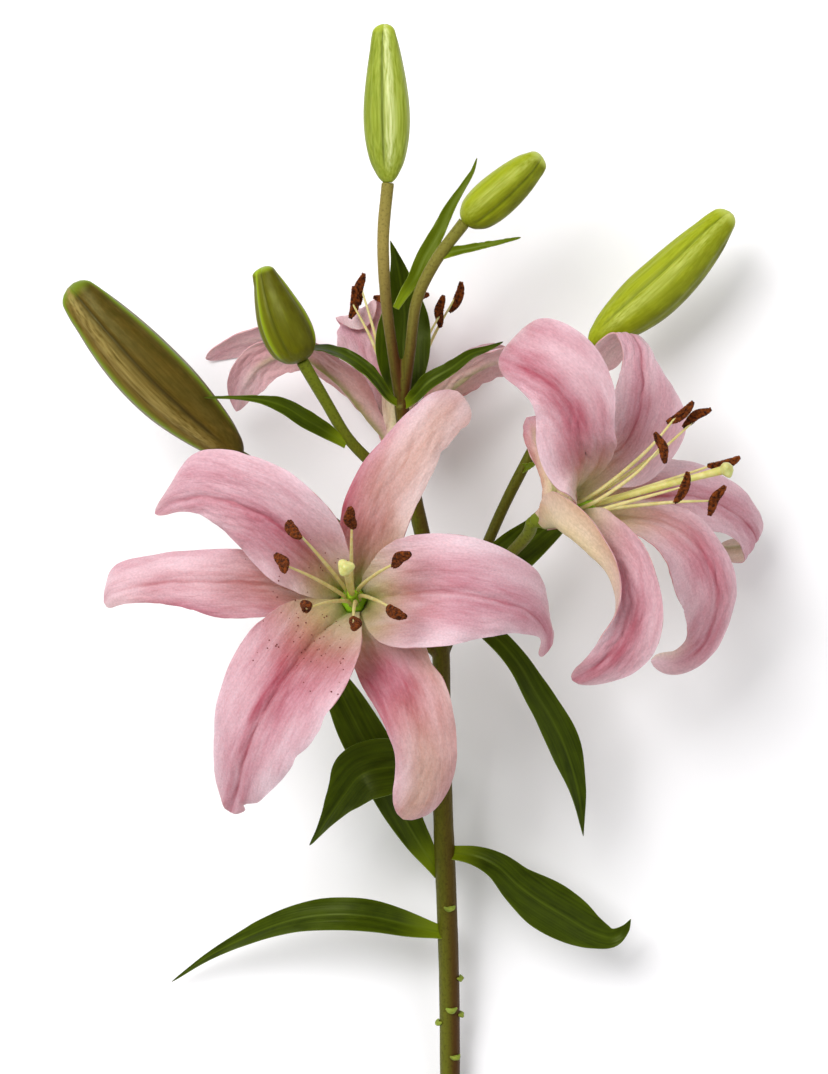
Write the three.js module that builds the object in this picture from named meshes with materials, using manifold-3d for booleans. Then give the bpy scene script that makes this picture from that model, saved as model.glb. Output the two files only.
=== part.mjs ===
// A cut stem of a pink hybrid lily laid on a table: three open blooms, five buds, the upper
// leaves and the small bracts, all growing from one branching stem.
// Millimetres. +Y runs up the stem and +Z is up from the table. The origin is on the table,
// under the middle of the spray. The cut end and the tips of the back bloom rest on z = 0.
import * as THREE from "three";
import { mergeVertices } from "three/addons/utils/BufferGeometryUtils.js";
import Module from "manifold-3d";

const wasm = await Module();
wasm.setup();

// ---- driving dimensions ----
const gap = 0.3; // clearance between neighbouring pieces
const cutRadius = 3.8; // stem radius at the cut end
const headRadius = 2.7; // stem radius where the last pedicels part
const stemRadii = [cutRadius, cutRadius, 3.8, 3.4, 3, headRadius]; // from the cut end up
const scarWidth = 4.5; // scar of a leaf stripped from the lower stem
const scarLength = 3;
const scarHeight = 0.9;
const scarSink = 0.3; // depth of a scar's middle under the stem's surface
const pedicelRadius = 2.1;
const budFlare = 0.2; // widening of a pedicel under its bud
const bloomFlare = 0.3; // widening of a pedicel under its bloom
const receptacleRadius = 4.6; // swollen end of a pedicel that carries a bloom
const receptacleHeight = 5;
const clawRing = 3.9; // distance from the bloom's axis to the foot of a tepal
const discRadius = 2.7; // disc inside the tepals' feet that carries the stamens
const discHeight = 1.4;
const filamentRing = 2.1; // distance from the bloom's axis to the foot of a filament
const filamentSink = 0.5; // height of a filament's foot inside the disc
const filamentSpread = 0.8; // how far a filament leans out over its first part
const filamentRise = 17; // height of that part
const filamentBow = 5; // rise of a filament's middle above the straight line
const filamentRadii = [0.5, 0.65, 0.5];
const antherLength = 11.5;
const antherRadius = 1.7;
const antherEnd = 0.3; // least radius of an anther
const styleFoot = 16; // height at which the style leaves the ovary
const pistilRadii = [1.2, 1.5, 1.1, 1.1, 1.1, 1.5, 2.9]; // ovary, style and stigma
const stigmaStart = 0.9; // share of the pistil's length at which the stigma's lobes begin
const stigmaLobe = 0.15; // height of the three lobes, as a share of the radius
const bladeMiddle = 0.8; // blade thickness at the midrib
const bladeEdge = 0.6; // blade thickness at the margin
const tipStart = 0.93; // share of a blade's length after which its tip is rounded off
const tipLeast = 0.12; // share of the width left at the very tip
const tepalWave = [0.8, 2]; // ripple of a tepal's margins: height, and waves from foot to tip
const budRadii = [0.38, 0.72, 0.92, 1, 0.98, 0.92, 0.82, 0.64, 0.4]; // as shares of the bud's radius
const budRibs = [0.07, 0.04]; // heights of a bud's three main ribs and of the three between them

// Lift of a blade's margins from foot to tip, as a share of the half width.
const cups = {
  petal: [0.55, 0.5, 0.3, 0.12, 0, -0.15],
  sepal: [0.25, 0.2, 0.15, 0.05, -0.1, -0.2],
  leaf: [0.3, 0.2, 0.1],
};

// Rows along each kind of shape and facets round or across it.
const facets = {
  stem: [18, 12],
  pedicel: [8, 8],
  receptacle: [1, 12],
  tepal: [10, 6],
  leaf: [10, 4],
  bud: [10, 12],
  disc: [1, 12],
  filament: [6, 5],
  anther: [4, 6],
  pistil: [12, 9],
  scar: [8, 4],
};
const fineSteps = 60; // steps at which a frame is carried along a blade's midrib
const arcSteps = 600; // steps used to measure the length of a path
const weldDistance = 1e-4; // corners closer than this become one

// ---- small helpers ----
const vec = (p) => new THREE.Vector3(...p);
const radians = THREE.MathUtils.degToRad;

// Smooth value at s (0 to 1) of a list spread evenly from foot to tip.
function along(values, s) {
  const last = values.length - 1;
  if (last === 0) return values[0];
  const i = Math.min(Math.floor(s * last), last - 1);
  const f = s * last - i;
  const at = (k) => values[Math.max(0, Math.min(last, k))];
  const slopeA = (at(i + 1) - at(i - 1)) / 2;
  const slopeB = (at(i + 2) - at(i)) / 2;
  const rise = at(i + 1) - at(i);
  const square = 3 * rise - 2 * slopeA - slopeB;
  const cube = slopeA + slopeB - 2 * rise;
  return at(i) + f * slopeA + f ** 2 * square + f ** 3 * cube;
}

// Rounds off the last part of a blade.
function roundTip(s) {
  const past = Math.max(0, (s - tipStart) / (1 - tipStart));
  return Math.max(tipLeast, Math.sqrt(1 - past ** 2));
}

function geometryOf(vertices, triangles) {
  const flat = new Float32Array(vertices.flatMap((v) => [v.x, v.y, v.z]));
  const geometry = new THREE.BufferGeometry();
  geometry.setAttribute("position", new THREE.BufferAttribute(flat, 3));
  geometry.setIndex(triangles.flat());
  return geometry;
}

function solidOf(geometry) {
  const bare = new THREE.BufferGeometry();
  bare.setAttribute("position", geometry.getAttribute("position"));
  bare.setIndex(geometry.index);
  const merged = mergeVertices(bare, weldDistance);
  const mesh = {
    numProp: 3,
    vertProperties: merged.attributes.position.array,
    triVerts: new Uint32Array(merged.index.array),
  };
  return new wasm.Manifold(new wasm.Mesh(mesh));
}

function geometryFrom(solid) {
  const mesh = solid.getMesh();
  const geometry = new THREE.BufferGeometry();
  geometry.setAttribute("position", new THREE.BufferAttribute(mesh.vertProperties, mesh.numProp));
  geometry.setIndex(new THREE.BufferAttribute(mesh.triVerts, 1));
  return geometry;
}

const fuse = (solids) => solids.reduce((sum, next) => sum.add(next));

// Points along a path with a frame that turns as little as possible from one to the next.
function frames(path, firstNormal, steps = fineSteps) {
  const curve = new THREE.CatmullRomCurve3(path.map(vec), false, "centripetal");
  curve.arcLengthDivisions = arcSteps;
  const points = curve.getSpacedPoints(steps);
  let normal = firstNormal.clone();
  return points.map((point, i) => {
    const before = points[Math.max(0, i - 1)];
    const after = points[Math.min(steps, i + 1)];
    const tangent = after.clone().sub(before).normalize();
    normal = normal.clone().addScaledVector(tangent, -normal.dot(tangent)).normalize();
    return { point, tangent, normal, across: tangent.clone().cross(normal) };
  });
}

// Turns a closed geometry the right way out.
function facingOut(geometry) {
  const p = geometry.attributes.position;
  const [a, b, c] = [0, 1, 2].map(() => new THREE.Vector3());
  const index = geometry.index.array;
  let volume = 0;
  for (let i = 0; i < index.length; i += 3) {
    a.fromBufferAttribute(p, index[i]);
    b.fromBufferAttribute(p, index[i + 1]);
    c.fromBufferAttribute(p, index[i + 2]);
    volume += a.dot(b.cross(c));
  }
  if (volume < 0) {
    for (let i = 0; i < index.length; i += 3) {
      [index[i + 1], index[i + 2]] = [index[i + 2], index[i + 1]];
    }
  }
  return geometry;
}

// ---- closed lofts: stems, buds, filaments ----
// Rings of points round a path. section(angle, s) gives the distance from the path.
function loft(path, section, [rows, sides]) {
  const all = frames(path, new THREE.Vector3(0, 0, 1), rows);
  const vertices = [];
  all.forEach(({ point, normal, across }, i) => {
    for (let j = 0; j < sides; j++) {
      const angle = (2 * Math.PI * j) / sides;
      const reach = section(angle, i / rows);
      const out = across.clone().multiplyScalar(Math.cos(angle));
      out.addScaledVector(normal, Math.sin(angle));
      vertices.push(point.clone().addScaledVector(out, reach));
    }
  });
  const triangles = [];
  const id = (i, j) => i * sides + (j % sides);
  for (let i = 0; i < rows; i++) {
    for (let j = 0; j < sides; j++) {
      triangles.push([id(i, j), id(i, j + 1), id(i + 1, j)]);
      triangles.push([id(i, j + 1), id(i + 1, j + 1), id(i + 1, j)]);
    }
  }
  const foot = vertices.push(all[0].point) - 1;
  const tip = vertices.push(all[rows].point) - 1;
  for (let j = 0; j < sides; j++) {
    triangles.push([foot, id(0, j + 1), id(0, j)]);
    triangles.push([tip, id(rows, j), id(rows, j + 1)]);
  }
  return facingOut(geometryOf(vertices, triangles));
}

const taperedTube = (path, radii, size) => loft(path, (angle, s) => along(radii, s), size);

// ---- blades: tepals, leaves and bracts ----
// path: midrib points. face: direction the upper side looks at the foot. left and right: half
// widths. roll: degrees the blade is turned about its midrib. cup: lift of the margins.
// wave: ripple of the margins. The middle surface is a grid of points, row by row.
function bladeMiddleSurface({ path, face, left, right, roll = [0], cup, wave = [0, 0], size }) {
  const [rows, columns] = size;
  const fine = frames(path, face);
  const skip = fineSteps / rows;
  const surface = [];
  for (let i = 0; i <= rows; i++) {
    const s = i / rows;
    const { point, tangent, normal, across } = fine[i * skip];
    const turn = radians(along(roll, s));
    const side = across.clone().applyAxisAngle(tangent, turn);
    const up = normal.clone().applyAxisAngle(tangent, turn);
    const halves = [left, right].map((list) => along(list, s) * roundTip(s));
    const row = [];
    for (let j = 0; j <= columns; j++) {
      const v = (2 * j) / columns - 1;
      const half = halves[v < 0 ? 0 : 1];
      const swell = wave[0] * Math.abs(v) ** 3 * Math.sin(Math.PI * s);
      const ripple = swell * Math.sin(2 * Math.PI * wave[1] * s + 2 * v);
      const lift = along(cup, s) * half * v * v + ripple;
      row.push(point.clone().addScaledVector(side, v * half).addScaledVector(up, lift));
    }
    surface.push(row);
  }
  return surface;
}

// The middle surface thickened to both sides and closed round its rim.
function blade(values) {
  const [rows, columns] = values.size;
  const middle = bladeMiddleSurface(values);
  const clampTo = (n, most) => Math.max(0, Math.min(most, n));
  const at = (i, j) => middle[clampTo(i, rows)][clampTo(j, columns)];
  const vertices = [];
  for (const sign of [1, -1]) {
    for (let i = 0; i <= rows; i++) {
      for (let j = 0; j <= columns; j++) {
        const lengthwise = at(i + 1, j).clone().sub(at(i - 1, j));
        const crosswise = at(i, j + 1).clone().sub(at(i, j - 1));
        const out = lengthwise.cross(crosswise).normalize();
        const v = Math.abs((2 * j) / columns - 1);
        const thick = THREE.MathUtils.lerp(bladeMiddle, bladeEdge, v);
        vertices.push(at(i, j).clone().addScaledVector(out, (sign * thick) / 2));
      }
    }
  }
  const perFace = (rows + 1) * (columns + 1);
  const id = (face, i, j) => face * perFace + i * (columns + 1) + j;
  const triangles = [];
  const quad = (a, b, c, d) => triangles.push([a, b, c], [a, c, d]);
  for (let i = 0; i < rows; i++) {
    for (let j = 0; j < columns; j++) {
      quad(id(0, i, j), id(0, i + 1, j), id(0, i + 1, j + 1), id(0, i, j + 1));
      triangles.push([id(1, i, j), id(1, i + 1, j + 1), id(1, i + 1, j)]);
      triangles.push([id(1, i, j), id(1, i, j + 1), id(1, i + 1, j + 1)]);
    }
  }
  for (let i = 0; i < rows; i++) {
    quad(id(1, i, 0), id(1, i + 1, 0), id(0, i + 1, 0), id(0, i, 0));
    quad(id(0, i, columns), id(0, i + 1, columns), id(1, i + 1, columns), id(1, i, columns));
  }
  for (let j = 0; j < columns; j++) {
    quad(id(0, 0, j), id(0, 0, j + 1), id(1, 0, j + 1), id(1, 0, j));
    quad(id(1, rows, j), id(1, rows, j + 1), id(0, rows, j + 1), id(0, rows, j));
  }
  return facingOut(geometryOf(vertices, triangles));
}

// ---- colours ----
const finish = (color, roughness) => new THREE.MeshStandardMaterial({ color, roughness, metalness: 0 });
const pink = finish(0xe3a3b1, 0.55);
const leafGreen = finish(0x3f5a12, 0.45);
const budGreen = finish(0x9aa62a, 0.5);
const stemGreen = finish(0x5f5220, 0.55);
const styleGreen = finish(0xc9c588, 0.5);
const rust = finish(0x6b2a10, 0.9);

const spray = new THREE.Group();
function place(name, geometry, material) {
  const mesh = new THREE.Mesh(geometry, material);
  mesh.name = name;
  spray.add(mesh);
}

// ---- the stem and its pedicels ----
const mainStem = [
  [13.4, -205.6, 3.6],
  [13.4, -176.5, 9.5],
  [13, -140.5, 17],
  [12, -110.5, 25],
  [10.5, -73, 33],
  [10, -36, 42],
  [9.5, -14, 47],
  [5, 15, 55],
  [-0.5, 40.5, 61],
  [-4.5, 70.5, 66],
];
// Scars of the leaves stripped from the lower stem: place along the stem (0 at the cut end) and the
// direction they face, in degrees round it from +X towards the viewer.
const scars = [
  { along: 0.06, facing: 110 },
  { along: 0.137, facing: 60 },
  { along: 0.182, facing: 165 },
  { along: 0.192, facing: 8 },
  { along: 0.202, facing: 80 },
  { along: 0.241, facing: 15 },
  { along: 0.344, facing: 75 },
];
const pedicels = {
  topBud: [[-4, 66, 65], [-7.2, 87, 69], [-10, 108, 72], [-11, 130, 74], [-9.3, 149.6, 76]],
  upperRightBud: [[-4.6, 66, 65], [-1.4, 90, 70], [1.1, 108, 72], [7.5, 121.5, 74], [18, 135.5, 76]],
  smallLeftBud: [
    [-1, 36, 60], [-9.3, 44.5, 62], [-23, 58, 66], [-31.8, 72.3, 72], [-37.6, 82.2, 78],
    [-39.8, 86, 80],
  ],
  largeLeftBud: [[9, -6, 48], [-12, 15, 49], [-37.6, 35, 55], [-55, 47.6, 62], [-62.5, 52.5, 66]],
  largeRightBud: [
    [10.4, -20, 45], [26.6, 20.6, 42], [33.2, 35.4, 38], [41.3, 51.2, 34], [53.4, 73.8, 32],
    [65, 94, 32],
  ],
};
const buds = {
  top: { pedicel: "topBud", middle: [-9.5, 176, 78], tip: [-10.5, 205.6, 80], radius: 8.2 },
  upper_right: { pedicel: "upperRightBud", middle: [30, 145.5, 80], tip: [45, 158.5, 84], radius: 7.8 },
  small_left: { pedicel: "smallLeftBud", middle: [-47.5, 103, 83], tip: [-53.5, 119, 85], radius: 9.2 },
  large_left: { pedicel: "largeLeftBud", middle: [-93.5, 81.5, 72], tip: [-122.5, 113, 74], radius: 12 },
  large_right: { pedicel: "largeRightBud", middle: [92, 116, 32], tip: [116.5, 142, 32], radius: 10 },
};

// ---- the three blooms ----
// A tepal's midrib is a list of offsets from the bloom's receptacle. left and right are the half
// widths from foot to tip, seen from the inner face with the tip up. turn is where its foot
// stands round the axis, in degrees. Petals are the inner whorl and sepals the outer one.
// A stamen's anther has its middle at the offset "at" and its length along "lies".
const blooms = {
  front: {
    at: [-21.2, 0, 84],
    axis: [-0.03, 0.2, 0.98],
    pedicel: [[10, -20, 44], [2, -14, 48], [-12, -7, 56], [-19.5, -3.5, 70]],
    pistil: [-2, 13, 62],
    stamenTurn: 90,
    tepals: {
      right: {
        kind: "petal",
        turn: 0,
        left: [1.4, 6, 11.5, 17, 20, 20.5, 19.5, 17, 13, 6, 3],
        right: [1.4, 6, 12.5, 18.5, 20, 19, 15, 11, 8, 5, 3.4],
        path: [
          [6.5, 1.5, 12], [14.5, 3, 26], [26, 4.5, 37], [37.5, 4, 41], [50, 1.5, 38],
          [61, -2.5, 30], [67.5, -10, 19], [68.5, -17, 11],
        ],
      },
      top: {
        kind: "sepal",
        turn: 60,
        left: [1.4, 5, 8, 11, 13, 13.5, 12.5, 10.8, 9, 7.5, 5],
        right: [1.4, 5, 8.5, 11.5, 12.4, 12, 11.3, 10.2, 10.2, 10.6, 7],
        path: [
          [2.5, 9.5, 9], [4.5, 18, 17], [7.5, 28.5, 25], [12, 39.5, 31], [18, 50, 34],
          [24.5, 60.5, 31], [31.5, 69.5, 23], [36.5, 74.5, 14],
        ],
      },
      upper_left: {
        kind: "petal",
        turn: 120,
        left: [1.4, 4.5, 8.5, 13, 16, 16.3, 14.5, 11, 6.5, 3.5, 2],
        right: [1.4, 4.5, 7.5, 12, 16.5, 18.6, 18.6, 17.8, 14.5, 5.5, 2],
        path: [
          [-5.7, 6.2, 12], [-12.5, 15, 26], [-21.5, 24, 36], [-31, 31, 40], [-40.5, 35, 40],
          [-51, 37.5, 36], [-60.5, 36, 29], [-69.5, 31.5, 20],
        ],
      },
      left: {
        kind: "sepal",
        turn: 180,
        left: [1.4, 5, 8.2, 10.8, 12.6, 13, 10.5, 8, 6, 5, 4],
        right: [1.4, 5, 8, 9.8, 11.2, 12, 12, 11.8, 11.5, 10.5, 7],
        path: [
          [-7.5, 1, 8], [-15.5, 3.5, 12.5], [-25, 6, 19], [-36.5, 7.5, 25], [-49, 8, 30],
          [-62, 8, 28], [-74.5, 6.5, 23], [-84.5, 4, 16], [-88, 0.5, 9],
        ],
      },
      lower_left: {
        kind: "petal",
        turn: 240,
        left: [1.4, 5, 11.5, 17.5, 20.5, 21, 20, 17.5, 13.5, 8, 3],
        right: [1.4, 5, 10.5, 16, 19, 19.5, 18, 15, 12, 8.5, 3.5],
        path: [
          [-3.5, -3.5, 12], [-11, -9.5, 26], [-19, -19, 36], [-27.5, -31.5, 41],
          [-34.5, -45, 39], [-38.5, -56.5, 33], [-41, -66.5, 24], [-43.5, -73.5, 15],
        ],
      },
      bottom: {
        kind: "sepal",
        turn: 300,
        left: [1.4, 5, 9.5, 13.5, 14.5, 14, 13, 12, 10.5, 8, 4.5],
        right: [1.4, 5, 9, 12, 12.5, 12, 11.5, 10.8, 10, 8.5, 5],
        path: [
          [3, -7.5, 9], [7.5, -14.5, 17], [13, -21, 23], [18.5, -30.5, 27], [22.5, -42, 29],
          [24.5, -52.5, 27], [24, -62, 22], [21.5, -70, 16], [17.5, -76, 9],
        ],
      },
    },
    stamens: [
      { at: [0, 30, 50], lies: [-0.1, 0.6, 0.8] },
      { at: [-19.5, 26, 51], lies: [0.35, -0.5, 0.8] },
      { at: [-24.5, 14.5, 51], lies: [0.3, -0.5, 0.8] },
      { at: [-15.5, -1, 54], lies: [0.1, 0.2, 1] },
      { at: [0.5, -6, 55], lies: [0.1, -0.3, 0.95] },
      { at: [15.5, -2, 54], lies: [0.5, -0.3, 0.8] },
      { at: [17, 15.5, 51], lies: [0.5, 0.4, 0.77] },
    ],
  },
  right: {
    at: [46.8, 30.2, 72],
    axis: [0.9, 0.26, 0.35],
    pedicel: [[10, -14, 46], [20, 1, 49], [32.6, 15, 55], [41, 24.6, 65]],
    pistil: [63, 17, 20],
    stamenTurn: 240,
    tepals: {
      reflexed: {
        kind: "sepal",
        turn: 0,
        left: [1.4, 3.5, 4, 3.5, 3.5, 4, 2.5],
        right: [1.4, 12.5, 11, 8, 6, 6.5, 7, 7, 6.5, 5, 3],
        path: [
          [1, 3, 7], [0.5, 8, 9], [1.5, 17, 6], [1.5, 25, 1], [0, 32, -5],
          [-2.5, 36.5, -12], [-5, 38, -19],
        ],
      },
      lower_near: {
        kind: "petal",
        turn: 60,
        left: [1.4, 6, 9, 10, 12, 10, 2],
        right: [1.4, 6, 8, 8, 7.5, 5, 2],
        roll: [15, 40, 60, 75, 80, 80, 80],
        path: [
          [6, -3, 8], [12.5, -5.5, 16], [19.5, -10.5, 22], [25.5, -17, 26],
          [28.5, -25.5, 27], [28.5, -34, 25], [25, -44, 20], [18.5, -52, 13], [9.5, -58, 5],
        ],
      },
      lower_far: {
        kind: "sepal",
        turn: 120,
        left: [1.4, 5, 6.5, 7, 8, 8, 8, 7, 5.5, 4.5, 3.5],
        right: [1.4, 6, 8, 11, 14.5, 16.5, 16, 12, 7.5, 5, 4],
        roll: [0, 4, 12, 21, 32, 41, 46, 50, 64, 90, 100],
        path: [
          [8.5, -1.8, 0], [18, -1.5, 1], [29, 0, 1.5], [41, -1.5, 1], [51.5, -7, 1],
          [59, -17, -1], [62, -28.5, -5], [60, -39.5, -11], [56, -47.5, -16],
          [48, -52.5, -19], [39, -51.5, -20],
        ],
      },
      far: {
        kind: "petal",
        turn: 180,
        left: [1.4, 5, 8.5, 11, 12.8, 13.2, 12, 8.5, 5.5, 4.5, 2.5],
        right: [1.4, 5, 8.5, 11, 12.8, 13, 12.5, 9, 5.5, 4.5, 2.5],
        path: [
          [8.5, 2.5, -5], [18, 4.5, -11], [29.5, 6.5, -16.5], [42.5, 8, -22],
          [55.5, 8, -28], [66.5, 4.5, -34], [75, -1, -41], [79.5, -6, -48],
          [77.5, -10.5, -54], [71.5, -12.5, -58], [65.5, -12, -60],
        ],
      },
      far_top: {
        kind: "sepal",
        turn: 240,
        left: [1.4, 5, 6, 8.5, 10.5, 11.5, 9.5, 7.5, 7.5, 8, 7],
        right: [1.4, 5.5, 8.5, 13, 17.5, 19, 13, 6, 6, 8, 7],
        roll: [0, -8, -20, -35, -45, -40, -10, 0],
        path: [
          [6, 7.5, 1], [13, 14, 1], [22, 21, -2], [30, 28, -7], [34.5, 39.5, -9],
          [35.5, 50.5, -11], [34.5, 61, -14], [31, 66.5, -18], [24.5, 62, -22],
          [18.5, 54, -25],
        ],
      },
      near_top: {
        kind: "petal",
        turn: 300,
        left: [1.4, 6, 14, 16, 11, 7, 2],
        right: [1.4, 5, 9, 11.5, 18.5, 18, 3],
        roll: [0, -25, -50, -65, -65, -65, -65],
        path: [
          [5, 6.5, 5], [10.5, 11.5, 9.5], [14, 19, 17], [12, 27, 27], [8, 38, 33],
          [1.5, 46, 35], [-6.5, 51.5, 32], [-13, 54.5, 26], [-17, 56.5, 19],
        ],
      },
    },
    stamens: [
      { at: [54, 35.5, 4], lies: [0.84, 0.54, 0] },
      { at: [47.5, 37.5, 10], lies: [0.78, 0.62, 0.1] },
      { at: [39.5, 24.5, 26], lies: [0.28, -0.9, 0.3] },
      { at: [46.5, 10.5, 32], lies: [0.38, 0.9, 0.2] },
      { at: [60, 6, 20], lies: [0.46, 0.87, 0.1] },
      { at: [63, 20, 10], lies: [0.96, 0.25, 0] },
    ],
  },
  back: {
    at: [-5.8, 52.6, 46],
    axis: [0, 0.93, -0.35],
    pedicel: [[2, 30, 58], [-1, 38, 52], [-5, 45, 48]],
    pistil: [2, 64, -30],
    stamenTurn: 275,
    tepals: {
      near: {
        kind: "sepal",
        turn: 0,
        left: [1.4, 4.5, 6, 6, 6, 5, 2],
        right: [1.4, 4.5, 6, 6, 6, 5, 2],
        path: [
          [0, 9, 6.5], [0, 18, 9], [1, 27, 7.5], [2, 36, 2], [2.5, 44.5, -4],
          [2.5, 52, -12],
        ],
      },
      near_left: {
        kind: "petal",
        turn: 300,
        left: [1.4, 4.5, 9.5, 11, 9, 7, 2],
        right: [1.4, 4.5, 8, 8, 8, 7, 2],
        path: [
          [-5.5, 7.5, 1], [-10.5, 14, 3.5], [-16.5, 21.5, 7], [-24.5, 29.5, 8],
          [-33.5, 35.5, 5.5], [-42.5, 37, 1], [-51, 33, -5], [-57, 25.5, -13],
          [-59.5, 17.5, -22],
        ],
      },
      far_left: {
        kind: "sepal",
        turn: 240,
        left: [1.4, 5, 8, 10, 9, 7, 3],
        right: [1.4, 5, 8, 10, 9, 7, 3],
        roll: [0, 0, 0, 10, 25, 35, 35],
        path: [
          [-6, 7.5, -7], [-12, 18, -17], [-20, 30, -29.5], [-30, 40, -36.5],
          [-42, 45.5, -39], [-55.5, 44.5, -41.5], [-65, 41, -43], [-72, 37.5, -43.5],
        ],
      },
      far: {
        kind: "petal",
        turn: 180,
        left: [1.4, 3.5, 6, 8.5, 10.5, 12.5, 14, 14.5, 12, 9, 5],
        right: [1.4, 3.5, 6, 8.5, 10, 11, 11, 10, 9, 8, 4],
        roll: [0, 0, 0, 0, 0, 0, 0, 0, -5, -70, -109],
        path: [
          [0, 7.5, -8.5], [-1.5, 18.5, -15], [-4.5, 31, -20], [-8, 42, -24],
          [-11.5, 50, -27], [-14, 54.5, -27.5], [-15, 53, -24.5], [-14.7, 47, -22],
        ],
      },
      far_right: {
        kind: "sepal",
        turn: 120,
        left: [1.4, 5, 8, 11, 10, 7, 2],
        right: [1.4, 5, 8, 11, 10, 7, 2],
        path: [
          [6, 7.5, -7], [10.5, 18, -17], [16.5, 31, -28], [25, 39, -36], [34.5, 42, -42],
          [42, 40, -45],
        ],
      },
      near_right: {
        kind: "petal",
        turn: 60,
        left: [1.4, 4.5, 8, 9, 9, 7, 2],
        right: [1.4, 4.5, 8, 9, 9, 7, 2],
        path: [
          [6, 8, 1.8], [12, 15.5, 3], [18.5, 24, 2.5], [26, 30, 1], [35, 34.5, -3],
          [42.5, 34.5, -9], [47, 30, -15],
        ],
      },
    },
    stamens: [
      { at: [-13.5, 62, -20], lies: [0.15, 0.95, 0.2] },
      { at: [-17, 57, -17], lies: [0.1, 1, 0] },
      { at: [16, 53.5, -14], lies: [0.1, 1, 0.1] },
      { at: [21, 59, -18], lies: [0.35, 0.9, 0] },
      { at: [6, 58, -19], lies: [0.8, 0.3, 0.3] },
      { at: [-4, 56, -20], lies: [-0.8, 0.5, 0] },
    ],
  },
};

// ---- leaves and bracts: midribs from the stem outwards, with half widths from foot to tip ----
const leaves = {
  leaf_lower_left: {
    half: [2.2, 5, 6.2, 5.2, 3.4, 1.6, 0.4],
    path: [
      [12, -123, 22], [-0.5, -119.5, 29], [-14.5, -116, 32], [-25.5, -115, 32],
      [-38, -116, 29], [-49.5, -119, 25], [-62, -124.5, 19], [-76.5, -132.5, 12],
      [-90.5, -142.5, 5],
    ],
  },
  leaf_lower_right: {
    half: [2.5, 4, 6.5, 9.3, 8.5, 4.5, 0.5],
    path: [
      [13, -92.5, 29], [22.5, -93.5, 34], [30.5, -97, 36], [38, -104, 35], [46, -110, 33],
      [55.5, -116, 30], [65.5, -122, 27], [73, -124, 26], [77.5, -121, 27],
      [79.5, -117, 30],
    ],
  },
  leaf_mid_left: {
    half: [2.5, 5, 7, 8.5, 8, 5.5, 0.6],
    path: [
      [9.5, -100.5, 26], [1.5, -88.5, 29], [-6, -75, 32], [-13, -60, 33], [-20, -47.5, 33],
      [-25.5, -36.5, 32], [-31, -26, 30], [-35.5, -18, 28],
    ],
  },
  leaf_mid_left_folded: {
    half: [2.5, 7, 10.5, 10, 5.5, 2.2, 0.5],
    path: [
      [9.5, -64, 36], [-0.5, -61, 42], [-10, -60.5, 44], [-19, -63, 44], [-25, -70, 41],
      [-30.5, -78, 37], [-35, -85, 32], [-38.5, -90, 28],
    ],
  },
  leaf_mid_right: {
    half: [2, 3.5, 4, 5.3, 6.1, 3.2, 0.4],
    path: [
      [10.5, 2, 49], [19.5, -4.5, 57], [30, -13.5, 60], [37.5, -22, 60], [43.5, -32, 58],
      [49.5, -42, 55], [54.5, -52.5, 51], [59.5, -68.5, 44], [62, -86, 37],
    ],
  },
  leaf_under_right: {
    half: [2, 5, 7.5, 8, 6.5, 4, 0.5],
    path: [
      [9.5, -6, 47], [22, 4, 50], [35, 16, 50], [46, 25, 47], [55, 31.5, 42],
      [63.5, 37, 36],
    ],
  },
  leaf_head_left: {
    half: [1, 1.8, 2.5, 2.7, 2.2, 1.5, 0.4],
    path: [
      [-5, 70.5, 66], [-9.5, 74, 71], [-13.5, 79.5, 74], [-18, 84, 74.5], [-24, 88, 73],
      [-30, 90.5, 69], [-35.5, 91.5, 64], [-41, 92, 59],
    ],
  },
  leaf_head_right: {
    half: [1.2, 2.4, 3, 2.6, 2, 1.2, 0.4],
    path: [
      [-4.5, 69.5, 66], [0.5, 74, 71], [5.5, 79, 73], [13, 83.5, 73], [20, 88.5, 71],
      [26.5, 91, 68], [32, 93.5, 65],
    ],
  },
  leaf_head_back: {
    half: [2, 6.5, 9.5, 9.5, 6.5, 3, 0.4],
    path: [
      [-4.5, 68.5, 64], [-4, 80, 58], [-4, 92.5, 56], [-3.5, 103.5, 56], [-4.5, 112.5, 57],
      [-6, 121.5, 59], [-8.5, 130, 61],
    ],
  },
  bract_small_left: {
    half: [1.5, 2.8, 3.3, 2.8, 1.3, 0.6, 0.4],
    path: [
      [-24.5, 56.5, 67], [-32, 61.5, 71], [-39, 65.5, 75], [-45.5, 69.5, 77], [-53, 72, 78],
      [-63.5, 73, 79], [-74.5, 73, 79],
    ],
  },
  bract_top_long: {
    half: [1.2, 2.4, 3, 3, 2.3, 1.3, 0.4],
    path: [
      [-6.5, 105, 72], [-3, 111, 69], [0.5, 116.5, 67], [3.5, 123.5, 66], [8, 131.5, 66],
      [13.5, 142.5, 67], [18, 149.5, 68], [21, 154.5, 69], [22.5, 159, 70],
    ],
  },
  bract_top_short: {
    half: [1.2, 1.7, 1.5, 1.3, 1, 0.7, 0.4],
    path: [[9, 123, 74.5], [14, 125, 75.5], [21.5, 126.5, 77], [29, 128, 78], [38, 130, 78]],
  },
  bract_large_right: {
    half: [1.5, 1.8, 1.5, 1.2, 1, 0.7, 0.4],
    path: [[39, 48, 35], [42.5, 49.5, 39], [45, 51, 41]],
  },
};

// ---- building ----
const up = new THREE.Vector3(0, 0, 1);
const upperSide = new THREE.Vector3(0, 0.3, 1).normalize(); // way a leaf's upper side looks at its foot

// A bloom's own frame: its axis and two directions across it.
function bloomFrame({ axis }) {
  const forward = vec(axis).normalize();
  const reference = Math.abs(forward.z) > 0.8 ? new THREE.Vector3(1, 0, 0) : up;
  const first = reference.clone().addScaledVector(forward, -reference.dot(forward)).normalize();
  return { forward, first, second: forward.clone().cross(first) };
}

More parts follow.
